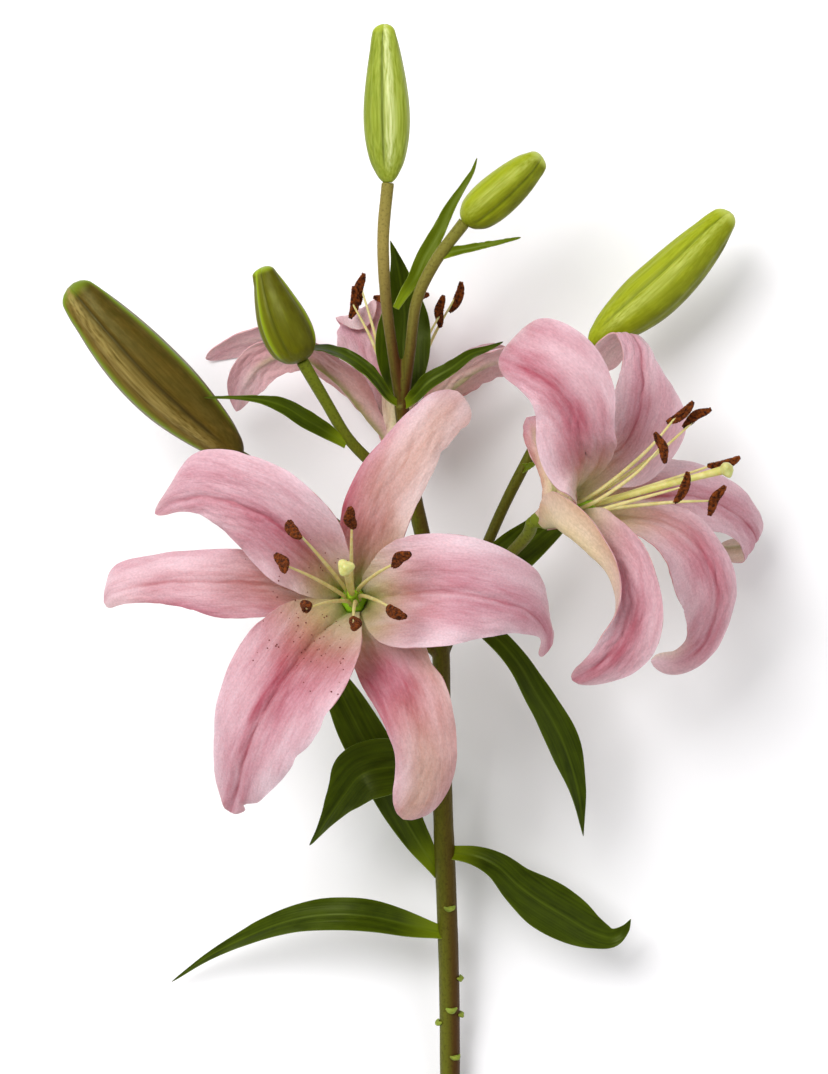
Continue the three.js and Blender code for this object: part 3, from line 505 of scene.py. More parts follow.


# Closed bud, grown: satin skin with lengthwise streaks about 1.5 mm apart, dark seams, pale ribs and painted
# shade on one side.
def budSkin(name, skin, streak, shadeTint, seam, rib, stripe):
    material, tree, shader = newMaterial(name, Roughness=0.42, Specular_IOR_Level=0.22,
                                         Specular_Tint=(0.95, 1.0, 0.45, 1.0),
                                         Subsurface_Weight=0.05, Subsurface_Scale=0.002)
    place = addNode(tree, "ShaderNodeAttribute", attribute_name="loftPlace").outputs["Vector"]
    shares = paintedShares(tree, "loftTone")
    streaks = noise(tree, place, 3.0, (0.8, 0.8, 18))
    mottle = noise(tree, place, 4.0, (3, 3, 7))
    streaked = spread(tree, streaks, 0.25, 0.8)
    # painted shade: a darker tint laid on the side of the bud away from the key light, broken up by the
    # mottle
    shadeShare = maths(tree, "MULTIPLY", maths(tree, "MULTIPLY", shares[2], mottle), 1.6, clamp=True)
    striped = maths(tree, "MULTIPLY", maths(tree, "MULTIPLY", shares[3], streaked), 1.7, clamp=True)
    colour = layered(tree, skin, (streaked, streak), (shadeShare, shadeTint), (shares[0], seam), (shares[1], rib),
                     (striped, stripe))
    dress(tree, shader, colour, spread(tree, mottle, 0.3, 0.7, 0.36, 0.52), streaks, 0.0003, 0.35)
    return material


# Stalk skin, grown: olive-brown with fine lengthwise streaks and darker specks, a dull sheen, and a brown
# coat that is partly painted shade.
def stalkSkin(name, dark, light, tan, green, brownAndShade, speck):
    material, tree, shader = newMaterial(name, Roughness=0.5, Specular_IOR_Level=0.18,
                                         Specular_Tint=(1.0, 0.9, 0.5, 1.0))
    place = addNode(tree, "ShaderNodeTexCoord").outputs["Object"]
    shares = paintedShares(tree, "stalkTone")
    streaks = noise(tree, place, 3.0, (1 / 1400, 1 / 90, 1 / 1400))
    specks = noise(tree, place, 2.0, Scale=1100.0)
    skin = layered(tree, dark, (spread(tree, streaks, 0.2, 0.8), light), (shares[0], tan), (shares[1], green),
                   (shares[2], brownAndShade), (spread(tree, specks, 0.52, 0.7, 0, 0.4), speck))
    dress(tree, shader, skin, spread(tree, specks, 0, 1, 0.4, 0.6), streaks, 0.0003, 0.45)
    return material


# Soft flesh of filament, style, stigma and scar: nearly even, with a faint mottle and a wet gloss.
def plantFlesh(name, colour, shade, roughness, grainMm):
    material, tree, shader = newMaterial(name, Roughness=roughness, Subsurface_Weight=0.2,
                                         Subsurface_Scale=0.0015, Specular_IOR_Level=0.3)
    place = addNode(tree, "ShaderNodeTexCoord").outputs["Object"]
    mottle = noise(tree, place, 3.0, Scale=1000 / (2.2 * grainMm))
    skin = layered(tree, colour, (spread(tree, mottle, 0.32, 0.68), shade))
    gloss = spread(tree, mottle, 0, 1, roughness - 0.08, roughness + 0.12)
    dress(tree, shader, skin, gloss, mottle, 0.0002, 0.3)
    return material


# Ripe pollen, shed on the anther: matte rust-brown crumbs of 0.4 mm, orange where light catches them.
def pollenCrust(name, dark, light):
    material, tree, shader = newMaterial(name, Roughness=0.85, Specular_IOR_Level=0.1, Sheen_Weight=0.05)
    place = addNode(tree, "ShaderNodeTexCoord").outputs["Object"]
    clumps = noise(tree, place, 3.0, Scale=900.0)
    crumbs = addNode(tree, "ShaderNodeTexVoronoi", {"Vector": place, "Scale": 2600.0})
    skin = layered(tree, dark, (spread(tree, clumps, 0.36, 0.64), light))
    dress(tree, shader, skin, spread(tree, clumps, 0, 1, 0.75, 0.95), crumbs.outputs["Distance"], 0.0004, 0.8)
    return material


finishes = {
    "inner": petalSkin("petal skin, inner face", 0.55, light="#C99BA7", rose="#9E4858", cream="#BDB57C",
                       green="#8FA82A", pale="#EDD9DF"),
    "outer": petalSkin("petal skin, outer face", 0.6, light="#D09CAA", rose="#A95F6E", cream="#CFC190",
                       green="#7C7F1C", pale="#E6D6D2"),
    "margin": plantFlesh("petal margin", "#CFA6A6", "#B8868C", 0.5, 1.5),
    "leafUpper": leafCuticle("leaf cuticle, upper face", 0.36, dark="#232E00", light="#394700",
                             young="#6A7A0C", rib="#526210"),
    "leafUnder": leafCuticle("leaf cuticle, under face", 0.5, dark="#44560F", light="#62762A",
                             young="#86953A", rib="#74863A"),
    "greenBud": budSkin("green bud skin", skin="#848E0A", streak="#A0AA22", shadeTint="#5A5E06",
                        seam="#4E5C06", rib="#B9C45A", stripe="#C4CC6E"),
    "paleBud": budSkin("pale green bud skin", skin="#788618", streak="#A6B348", shadeTint="#4E5E0A",
                       seam="#46540A", rib="#A9B63A", stripe="#D3D99C"),
    "oliveBud": budSkin("olive bud skin", skin="#5A5A04", streak="#6A6E0C", shadeTint="#423E02",
                        seam="#3E4004", rib="#8FA41C", stripe="#8A8C2C"),
    "brownBud": budSkin("ripening bud skin", skin="#4E3B0A", streak="#735C26", shadeTint="#3C3202",
                        seam="#33260A", rib="#6E8418", stripe="#8C7A42"),
    "stalk": stalkSkin("stalk skin", dark="#322A04", light="#554C10", tan="#9A8848", green="#6C7A1C",
                       brownAndShade="#44200A", speck="#33220A"),
    "scar": plantFlesh("leaf scar tissue", "#93A436", "#6F7E22", 0.6, 1.0),
    "cut": plantFlesh("cut stem pith", "#BFC98A", "#98A45A", 0.6, 0.8),
    "filament": plantFlesh("filament flesh", "#DAD094", "#C9BE74", 0.45, 1.2),
    "style": plantFlesh("style flesh", "#D3CB84", "#BDB75A", 0.42, 1.6),
    "stigma": plantFlesh("stigma flesh", "#D0CC86", "#B9B866", 0.3, 0.7),
    "ovary": plantFlesh("ovary skin", "#8CBE10", "#A6CC38", 0.4, 1.0),
    "pollen": pollenCrust("pollen crust", dark="#2E0F02", light="#84400E"),
    "papilla": plantFlesh("papilla skin", "#7A3A34", "#5E2722", 0.6, 0.4),
}
print("finishes made:", len(finishes))


# ---- stem, stalks, buds, blooms and leaves: where they run, in mm ----
stalks = {
    "main": [[13.4, -205.6, 3.6], [13.4, -176.5, 9.5], [13, -140.5, 17], [12, -110.5, 25], [10.5, -73, 33],
        [10, -36, 42], [9.5, -14, 47], [5, 15, 55], [-0.5, 40.5, 61], [-4.5, 70.5, 66]],
    "topBud": [[-4, 66, 65], [-7.2, 87, 69], [-10, 108, 72], [-11, 130, 74], [-9.3, 149.6, 76]],
    "upperRightBud": [[-4.6, 66, 65], [-1.4, 90, 70], [1.1, 108, 72], [7.5, 121.5, 74], [18, 135.5, 76]],
    "smallLeftBud": [[-1, 36, 60], [-9.3, 44.5, 62], [-23, 58, 66], [-31.8, 72.3, 72], [-37.6, 82.2, 78],
        [-39.8, 86, 80]],
    "largeLeftBud": [[9, -6, 48], [-12, 15, 49], [-37.6, 35, 55], [-55, 47.6, 62], [-62.5, 52.5, 66]],
    "largeRightBud": [[10.4, -20, 45], [26.6, 20.6, 42], [33.2, 35.4, 38], [41.3, 51.2, 34], [53.4, 73.8, 32],
        [65, 94, 32]],
}

scars = [{"along": 0.06, "facing": 110}, {"along": 0.137, "facing": 60}, {"along": 0.182, "facing": 165},
         {"along": 0.192, "facing": 8}, {"along": 0.202, "facing": 80}, {"along": 0.241, "facing": 15},
         {"along": 0.344, "facing": 75}]

buds = {
    "top": {"stalk": "topBud", "middle": [-9.5, 176, 78], "tip": [-10.5, 205.6, 80], "radius": 8.2},
    "upper_right": {"stalk": "upperRightBud", "middle": [30, 145.5, 80], "tip": [45, 158.5, 84],
        "radius": 7.8},
    "small_left": {"stalk": "smallLeftBud", "middle": [-47.5, 103, 83], "tip": [-53.5, 119, 85],
        "radius": 9.2},
    "large_left": {"stalk": "largeLeftBud", "middle": [-93.5, 81.5, 72], "tip": [-122.5, 113, 74],
        "radius": 12},
    "large_right": {"stalk": "largeRightBud", "middle": [92, 116, 32], "tip": [116.5, 142, 32], "radius": 10},
}

frontBloom = {
    "at": [-21.2, 0, 84], "axis": [-0.03, 0.2, 0.98], "pistil": [-2, 13, 62],
    "pedicel": [[10, -20, 44], [2, -14, 48], [-12, -7, 56], [-19.5, -3.5, 70]], "stamenTurn": 90,
    "antherRadius": 1.5,
    "tepals": {
        "right": {"kind": "petal", "turn": 0, "left": [1.4, 6, 11.5, 17, 20, 20.5, 19.5, 17, 12.5, 4.2, 7],
            "right": [1.4, 6, 12.5, 18.5, 20, 19, 15, 11, 7.5, 3.6, 7],
            "path": [[6.5, 1.5, 12], [14.5, 3, 26], [26, 4.5, 37], [37.5, 4, 41], [50, 1.5, 38],
                [61, -2.5, 30], [67.5, -10, 19], [68.5, -17, 11]]},
        "top": {"kind": "sepal", "turn": 60, "left": [1.4, 5, 8, 11, 13, 13.5, 12.5, 10.8, 9, 7.5, 5],
            "right": [1.4, 5, 8.5, 11.5, 12.4, 12, 11.3, 10.2, 10.2, 10.6, 7],
            "notches": [(1, 0.72, 0.1, 0.025), (1, 0.85, 0.06, 0.02)],
            "path": [[2.5, 9.5, 9], [4.5, 18, 17], [7.5, 28.5, 25], [12, 39.5, 31], [18, 50, 34],
                [24.5, 60.5, 31], [31.5, 69.5, 23], [36.5, 74.5, 14]]},
        "upper_left": {"kind": "petal", "turn": 120,
            "left": [1.4, 4.5, 8.5, 13, 16, 16.3, 14.5, 11, 6.5, 3.5, 2],
            "right": [1.4, 4.5, 7.5, 12, 16.5, 18.6, 18.6, 17.8, 14.5, 5.5, 2],
            "path": [[-5.7, 6.2, 12], [-12.5, 15, 26], [-21.5, 24, 36], [-31, 31, 40], [-40.5, 35, 40],
                [-51, 37.5, 36], [-60.5, 36, 29], [-69.5, 31.5, 20]]},
        "left": {"kind": "sepal", "turn": 180, "left": [1.4, 5, 8.2, 10.8, 12.6, 13, 10.5, 8, 6, 5, 4],
            "right": [1.4, 5, 8, 9.8, 11.2, 12, 12, 11.8, 11.5, 10.5, 7],
            "path": [[-7.5, 1, 8], [-15.5, 3.5, 12.5], [-25, 6, 19], [-36.5, 7.5, 25], [-49, 8, 30],
                [-62, 8, 28], [-74.5, 6.5, 23], [-84.5, 4, 16], [-88, 0.5, 9]]},
        "lower_left": {"kind": "petal", "turn": 240,
            "left": [1.4, 5, 11.5, 17.5, 20.5, 21, 20, 17.5, 13.5, 8, 3],
            "right": [1.4, 5, 10.5, 16, 19, 19.5, 18, 15, 12, 8.5, 3.5], "notches": [(-1, 0.925, 0.45, 0.018),
                (-1, 0.5, 0.05, 0.03), (-1, 0.66, 0.06, 0.03)], "groove": 1.8, "ridge": 1.0,
            "path": [[-3.5, -3.5, 12], [-11, -9.5, 26], [-19, -19, 36], [-27.5, -31.5, 41], [-34.5, -45, 39],
                [-38.5, -56.5, 33], [-41, -66.5, 24], [-43.5, -73.5, 15]]},
        "bottom": {"kind": "sepal", "turn": 300, "left": [1.4, 5, 9.5, 13.5, 14.5, 14, 13, 12, 10.5, 8, 4.5],
            "right": [1.4, 5, 9, 12, 12.5, 12, 11.5, 10.8, 10, 8.5, 5], "notches": [(-1, 0.4, 0.13, 0.04)],
            "path": [[3, -7.5, 9], [7.5, -14.5, 17], [13, -21, 23], [18.5, -30.5, 27], [22.5, -42, 29],
                [24.5, -52.5, 27], [24, -62, 22], [21.5, -70, 16], [17.5, -76, 9]]},
    },
    "stamens": [{"at": [0, 30, 50], "lies": [-0.1, 0.6, 0.8]},
        {"at": [-19.5, 26, 51], "lies": [0.35, -0.5, 0.8]},
        {"at": [-24.5, 14.5, 51], "lies": [0.3, -0.5, 0.8]}, {"at": [-15.5, -1, 54], "lies": [0.1, 0.2, 1]},
        {"at": [0.5, -6, 55], "lies": [0.1, -0.3, 0.95]}, {"at": [15.5, -2, 54], "lies": [0.5, -0.3, 0.8]},
        {"at": [17, 15.5, 51], "lies": [0.5, 0.4, 0.77]}],
}

rightBloom = {
    "at": [46.8, 30.2, 72], "axis": [0.9, 0.26, 0.35], "pistil": [63, 17, 20],
    "pedicel": [[10, -14, 46], [20, 1, 49], [32.6, 15, 55], [41, 24.6, 65]], "stamenTurn": 240,
    "antherRadius": 1.2,
    "tepals": {
        "reflexed": {"kind": "sepal", "turn": 0, "left": [1.4, 10.5, 9, 6.5, 5, 5, 5, 5, 4.5, 4, 2.5],
            "right": [1.4, 3.5, 4.5, 5, 5, 5, 5, 5, 4.5, 3.5, 2.5], "cup": [0.1, 0.1, 0.1, 0.15, 0.2, 0.2],
            "path": [[1, 3, 7], [3, 8.5, 9], [3, 14, 7.5], [0.5, 21, 3], [-2.5, 28, -2], [-4.5, 33.5, -8],
                [-6, 36, -15]]},
        "lower_near": {"kind": "petal", "turn": 60, "left": [1.4, 7.5, 9, 10, 10.5, 11, 12.5, 13, 11.5, 8, 4],
            "right": [1.4, 12, 15.5, 15, 13, 11, 9, 7.5, 6, 4.5, 3], "span": (0.25, 0.6),
            "curlLeft": [0, 10, 20, 15, 0, -15, 0], "curlRight": [0, 90, 140, 140, 125, 80, 30, 10, 0],
            "roll": [15, 40, 60, 75, 80, 80, 80],
            "path": [[6, -3, 8], [12.5, -5.5, 16], [19.5, -10.5, 22], [25.5, -17, 26], [28.5, -25.5, 27],
                [28.5, -34, 25], [25, -44, 20], [18.5, -52, 13], [9.5, -58, 5]]},
        "lower_far": {"kind": "sepal", "turn": 120, "left": [1.4, 5, 6.5, 7, 8, 8, 8, 7, 5.5, 4.5, 3.5],
            "right": [1.4, 6, 8, 11, 14.5, 16.5, 16, 12, 7.5, 5, 4],
            "roll": [0, 4, 12, 21, 32, 41, 46, 50, 64, 90, 100],
            "curlRight": [0, 0, 10, 10, 0, 0, 0, 20, 20, 0], "curlLeft": [0, 0, 0, 0, -10, -20, -10, 0, 0],
            "path": [[8.5, -1.8, 0], [18, -1.5, 1], [29, 0, 1.5], [41, -1.5, 1], [51.5, -7, 1], [59, -17, -1],
                [62, -28.5, -5], [60, -39.5, -11], [56, -47.5, -16], [48, -52.5, -19], [39, -51.5, -20]]},
        "far": {"kind": "petal", "turn": 180, "left": [1.4, 5, 8.5, 11, 12.8, 12.5, 11, 9, 7, 6, 4.5],
            "right": [1.4, 5, 8.5, 11, 12.8, 13, 11, 8.5, 8.5, 9.5, 6], "curlRight": [0, 0, 0, 0, 0, 0, 0],
            "curlLeft": [0, 0, -10, -20, -15, 0, 0],
            "path": [[8.5, 2.5, -5], [18, 4.5, -11], [29.5, 6.5, -16.5], [42.5, 8, -22], [55.5, 8, -28],
                [65, 5, -33], [72.5, 0.5, -39], [78, -5, -46], [79, -9.5, -52], [73, -11, -57],
                [65.5, -11, -60]]},
        "far_top": {"kind": "sepal", "turn": 240, "left": [1.4, 5, 6, 8.5, 10.5, 11.5, 9.5, 7.5, 7.5, 8, 7],
            "right": [1.4, 5.5, 8.5, 13, 17.5, 19, 13, 6, 6, 8, 7],
            "roll": [0, -8, -20, -35, -45, -40, -10, 0], "curlLeft": [0, 0, -10, -20, -15, 0, 0],
            "curlRight": [0, 0, -10, -20, -20, 0, 0],
            "path": [[6, 7.5, 1], [13, 14, 1], [22, 21, -2], [30, 28, -7], [34.5, 39.5, -9],
                [35.5, 50.5, -11], [34.5, 61, -14], [31, 66.5, -18], [24.5, 62, -22], [18.5, 54, -25]]},
        "near_top": {"kind": "petal", "turn": 300, "left": [1.4, 8.5, 12, 15, 16.5, 16, 13.5, 10.5, 8, 6, 3],
            "right": [1.4, 5.5, 7.5, 9.5, 11.5, 13.5, 18, 20.5, 20.5, 17, 8],
            "roll": [0, -12, -45, -65, -65, -65, -65],
            "path": [[5, 6.5, 5], [10.5, 11.5, 9.5], [14, 19, 17], [12, 27, 27], [8, 38, 33], [1.5, 46, 35],
                [-6.5, 51.5, 32], [-13, 54.5, 26], [-17, 56.5, 19]]},
    },
    "stamens": [{"at": [54, 35.5, 4], "lies": [0.84, 0.54, 0]},
        {"at": [47.5, 37.5, 10], "lies": [0.78, 0.62, 0.1]},
        {"at": [39.5, 24.5, 26], "lies": [0.28, -0.9, 0.3]},
        {"at": [46.5, 10.5, 32], "lies": [0.38, 0.9, 0.2]}, {"at": [60, 6, 20], "lies": [0.46, 0.87, 0.1]},
        {"at": [63, 20, 10], "lies": [0.96, 0.25, 0]}],
}

backBloom = {
    "at": [-5.8, 52.6, 46], "axis": [0, 0.93, -0.35], "pistil": [2, 64, -30],
    "pedicel": [[2, 30, 58], [-1, 38, 52], [-5, 45, 48]], "stamenTurn": 275, "antherRadius": 1.2,
    "tepals": {
        "near": {"kind": "sepal", "turn": 0, "left": [1.4, 4.5, 6, 6, 6, 5, 2],
            "right": [1.4, 4.5, 6, 6, 6, 5, 2],
            "path": [[0, 9, 6.5], [0, 18, 9], [1, 27, 7.5], [2, 36, 2], [2.5, 44.5, -4], [2.5, 52, -12]]},
        "near_left": {"kind": "petal", "turn": 300, "left": [1.4, 4.5, 9.5, 11, 9, 7, 2],
            "right": [1.4, 4.5, 8, 8, 8, 7, 2],
            "path": [[-5.5, 7.5, 1], [-10.5, 14, 3.5], [-16.5, 21.5, 7], [-24.5, 29.5, 8], [-33.5, 35.5, 5.5],
                [-42.5, 37, 1], [-51, 33, -5], [-57, 25.5, -13], [-59.5, 17.5, -22]]},
        "far_left": {"kind": "sepal", "turn": 240, "left": [1.4, 5, 8, 10, 9, 7, 3],
            "right": [1.4, 5, 8, 10, 9, 7, 3], "roll": [0, 0, 0, 10, 25, 35, 35],
            "path": [[-6, 7.5, -7], [-12, 18, -17], [-20, 30, -29.5], [-30, 40, -36.5], [-42, 45.5, -39],
                [-55.5, 44.5, -41.5], [-65, 41, -43], [-72, 37.5, -43.5]]},
        "far": {"kind": "petal", "turn": 180, "left": [1.4, 3.5, 6, 8.5, 10.5, 12.5, 14, 14.5, 12, 9, 5],
            "right": [1.4, 3.5, 6, 8.5, 10, 11, 11, 10, 9, 8, 4],
            "roll": [0, 0, 0, 0, 0, 0, 0, 0, -5, -70, -109], "curlLeft": [0], "curlRight": [0],
            "path": [[0, 7.5, -8.5], [-1.5, 18.5, -15], [-4.5, 31, -20], [-8, 42, -24], [-11.5, 50, -27],
                [-14, 54.5, -27.5], [-15, 53, -24.5], [-14.7, 47, -22]]},
        "far_right": {"kind": "sepal", "turn": 120, "left": [1.4, 5, 8, 11, 10, 7, 2],
            "right": [1.4, 5, 8, 11, 10, 7, 2],
            "path": [[6, 7.5, -7], [10.5, 18, -17], [16.5, 31, -28], [25, 39, -36], [34.5, 42, -42],
                [42, 40, -45]]},
        "near_right": {"kind": "petal", "turn": 60, "left": [1.4, 4.5, 8, 9, 9, 7, 2],
            "right": [1.4, 4.5, 8, 9, 9, 7, 2],
            "path": [[6, 8, 1.8], [12, 15.5, 3], [18.5, 24, 2.5], [26, 30, 1], [35, 34.5, -3],
                [42.5, 34.5, -9], [47, 30, -15]]},
    },
    "stamens": [{"at": [-13.5, 62, -20], "lies": [0.15, 0.95, 0.2]},
        {"at": [-17, 57, -17], "lies": [0.1, 1, 0]}, {"at": [16, 53.5, -14], "lies": [0.1, 1, 0.1]},
        {"at": [21, 59, -18], "lies": [0.35, 0.9, 0]}, {"at": [6, 58, -19], "lies": [0.8, 0.3, 0.3]},
        {"at": [-4, 56, -20], "lies": [-0.8, 0.5, 0]}],
}

leaves = {
    "leaf_lower_left": {"half": [2.2, 5, 6.2, 5.2, 3.4, 1.6, 0.4],
        "path": [[12, -123, 22], [-0.5, -119.5, 29], [-14.5, -116, 32], [-25.5, -115, 32], [-38, -116, 29],
            [-49.5, -119, 25], [-62, -124.5, 19], [-76.5, -132.5, 12], [-90.5, -142.5, 5]]},
    "leaf_lower_right": {"half": [2.5, 4, 6.5, 9.3, 8.5, 4.5, 0.5],
        "path": [[13, -92.5, 29], [22.5, -93.5, 34], [30.5, -97, 36], [38, -104, 35], [46, -110, 33],
            [55.5, -116, 30], [65.5, -122, 27], [73, -124, 26], [77.5, -121, 27], [79.5, -117, 30]]},
    "leaf_mid_left": {"half": [2.5, 5, 7, 8.5, 8, 5.5, 0.6],
        "path": [[9.5, -100.5, 26], [1.5, -88.5, 29], [-6, -75, 32], [-13, -60, 33], [-20, -47.5, 33],
            [-25.5, -36.5, 32], [-31, -26, 30], [-35.5, -18, 28]]},
    "leaf_mid_left_folded": {"half": [2.5, 7, 10.5, 10, 5.5, 2.2, 0.5],
        "path": [[9.5, -64, 36], [-0.5, -61, 42], [-10, -60.5, 44], [-19, -63, 44], [-25, -70, 41],
            [-30.5, -78, 37], [-35, -85, 32], [-38.5, -90, 28]]},
    "leaf_mid_right": {"half": [2, 3.5, 4, 5.3, 6.1, 3.2, 0.4],
        "path": [[10.5, 2, 49], [19.5, -4.5, 57], [30, -13.5, 60], [37.5, -22, 60], [43.5, -32, 58],
            [49.5, -42, 55], [54.5, -52.5, 51], [59.5, -68.5, 44], [62, -86, 37]]},
    "leaf_under_right": {"half": [2, 5, 7.5, 8, 6.5, 4, 0.5],
        "path": [[9.5, -6, 47], [22, 4, 50], [35, 16, 50], [46, 25, 47], [55, 31.5, 42], [63.5, 37, 36]]},
    "leaf_head_left": {"half": [1, 1.8, 2.5, 2.7, 2.2, 1.5, 0.4],
        "path": [[-5, 70.5, 66], [-9.5, 74, 71], [-13.5, 79.5, 74], [-18, 84, 74.5], [-24, 88, 73],
            [-30, 90.5, 69], [-35.5, 91.5, 64], [-41, 92, 59]]},
    "leaf_head_right": {"half": [1.2, 2.4, 3, 2.6, 2, 1.2, 0.4],
        "path": [[-4.5, 69.5, 66], [0.5, 74, 71], [5.5, 79, 73], [13, 83.5, 73], [20, 88.5, 71],
            [26.5, 91, 68], [32, 93.5, 65]]},
    "leaf_head_back": {"half": [2, 6.5, 9.5, 9.5, 6.5, 3, 0.4],
        "path": [[-4.5, 68.5, 64], [-4, 80, 58], [-4, 92.5, 56], [-3.5, 103.5, 56], [-4.5, 112.5, 57],
            [-6, 121.5, 59], [-8.5, 130, 61]]},
    "bract_small_left": {"half": [1.5, 2.8, 3.3, 2.8, 1.3, 0.6, 0.4],
        "path": [[-24.5, 56.5, 67], [-32, 61.5, 71], [-39, 65.5, 75], [-45.5, 69.5, 77], [-53, 72, 78],
            [-63.5, 73, 79], [-74.5, 73, 79]]},
    "bract_top_long": {"fresh": 0.45, "half": [1.2, 2.2, 2.8, 2.6, 1.9, 1.1, 0.4],
        "path": [[-6.5, 105, 72], [-3, 111, 69], [0.5, 116.5, 67], [3.5, 123.5, 66], [8, 131.5, 66],
            [13.5, 142.5, 67], [18, 149.5, 68], [21, 154.5, 69], [22.5, 159, 70]]},
    "bract_top_short": {"fresh": 0.45, "half": [1.2, 1.7, 1.5, 1.3, 1, 0.7, 0.4],
        "path": [[9, 123, 74.5], [14, 125, 75.5], [21.5, 126.5, 77], [29, 128, 78], [38, 130, 78]]},
    "bract_large_right": {"fresh": 0.6, "half": [1.5, 1.8, 1.5, 1.2, 1, 0.7, 0.4],
        "path": [[39, 48, 35], [42.5, 49.5, 39], [45, 51, 41]]},
}


# ---- camera, floor and light ----
studio = {"cameraHeight": 1560, "cameraAim": (0, 23.4), "sensor": 36, "lens": 139.7, "floorSize": 6000,
          "floorDrop": 0.3, "floorColour": "#FEFDFF", "skyColour": "#FFFFFF", "skyStrength": 0.5,
          "lightAim": (0, 20, 40), "key": {"place": (-750, 700, 1600), "size": 1000, "power": 31},
          "fill": {"place": (1100, -300, 1300), "size": 1200, "power": 5}}


def makeStudio(values):
    camera = bpy.data.cameras.new("camera above")
    camera.sensor_width = values["sensor"]
    camera.lens = values["lens"]
    camera.clip_end = 20
    eye = placed("camera above", camera)  # looks straight down, as the stem lies
    eye.location = Vector((*values["cameraAim"], values["cameraHeight"])) * mm
    bpy.context.scene.camera = eye
    paper, tree, shader = newMaterial("matte white paper", Roughness=0.9, Specular_IOR_Level=0.1)
    fibre = noise(tree, addNode(tree, "ShaderNodeTexCoord").outputs["Object"], 2.0, Scale=400.0)
    tree.links.new(spread(tree, fibre, 0, 1, 0.85, 0.95), shader.inputs["Roughness"])
    shader.inputs["Base Color"].default_value = linear(values["floorColour"])
    half = values["floorSize"] / 2
    corners = [(x * half, y * half, -values["floorDrop"]) for x, y in ((-1, -1), (1, -1), (1, 1), (-1, 1))]
    floor = newMesh("floor", corners, [[0, 1, 2, 3]], [paper], smooth=False)
    world = bpy.context.scene.world or bpy.data.worlds.new("studio")
    bpy.context.scene.world = world
    world.use_nodes = True
    sky = world.node_tree.nodes["Background"]
    sky.inputs["Color"].default_value = linear(values["skyColour"])
    sky.inputs["Strength"].default_value = values["skyStrength"]
    for name in ("key", "fill"):
        light = bpy.data.lights.new(name, "AREA")
        light.energy = values[name]["power"]
        light.size = values[name]["size"] * mm
        lamp = placed(name + " light", light)
        lamp.location = Vector(values[name]["place"]) * mm
        aim = Vector(values["lightAim"]) * mm - lamp.location
        lamp.rotation_euler = aim.to_track_quat("-Z", "Y").to_euler()
    bpy.context.scene.view_settings.view_transform = "Standard"


makeStudio(studio)
print("studio set")


# ---- tepals ----
# What a tepal's faces look like: for each tint a list from foot to tip at the midrib, at the left
# margin and at the right one. The pale tint is partly the skin's whitish colour and partly painted sheen.
petalBuild = {"rows": 96, "columns": 34, "cup": [0.55, 0.5, 0.3, 0.12, 0, -0.15], "groove": 1.0,
              "ridge": 0.45, "ruffle": 0.6, "wave": (0.8, 2), "crinkle": 0.24, "foot": 3.4,
              "thickness": (0.9, 0.45), "curlLeft": [0, 0, -15, -32, -38, -30, 0],
              "curlRight": [0, 0, -15, -35, -35, -28, 0]}
sepalBuild = {"rows": 96, "columns": 26, "cup": [0.25, 0.2, 0.15, 0.05, -0.1, -0.2], "groove": 0.5,
              "ridge": 0.3, "ruffle": 0.45, "wave": (0.8, 2), "crinkle": 0.26, "foot": 3,
              "thickness": (0.9, 0.5), "curlLeft": [0, 0, -10, -35, -45, -35, 0],
              "curlRight": [0, 0, -10, -35, -45, -35, 0]}
plainLook = {"rose": ([0.2, 0.4, 0.5, 0.45, 0.4, 0.4, 0.5], [0.3, 0.3, 0.2, 0.2, 0.2, 0.25, 0.4],
                 [0.3, 0.3, 0.2, 0.2, 0.2, 0.25, 0.4]),
             "cream": ([1, 0.8, 0.2, 0, 0, 0, 0], [1, 0.8, 0.1, 0, 0, 0, 0.1], [1, 0.8, 0.1, 0, 0, 0, 0.1]),
             "pale": ([0, 0, 0.05, 0.1, 0.1, 0.05, 0], [0, 0.1, 0.3, 0.4, 0.4, 0.3, 0.2],
                 [0, 0.1, 0.3, 0.4, 0.4, 0.3, 0.2]), "line": 0.5, "throat": 0.9, "backRose": 0.12,
             "backCream": 0.95, "backPale": 0.2, "backRim": 0.4, "creamEnd": (0.25, 0.95),
             "greenEnd": (0.5, 0.95)}
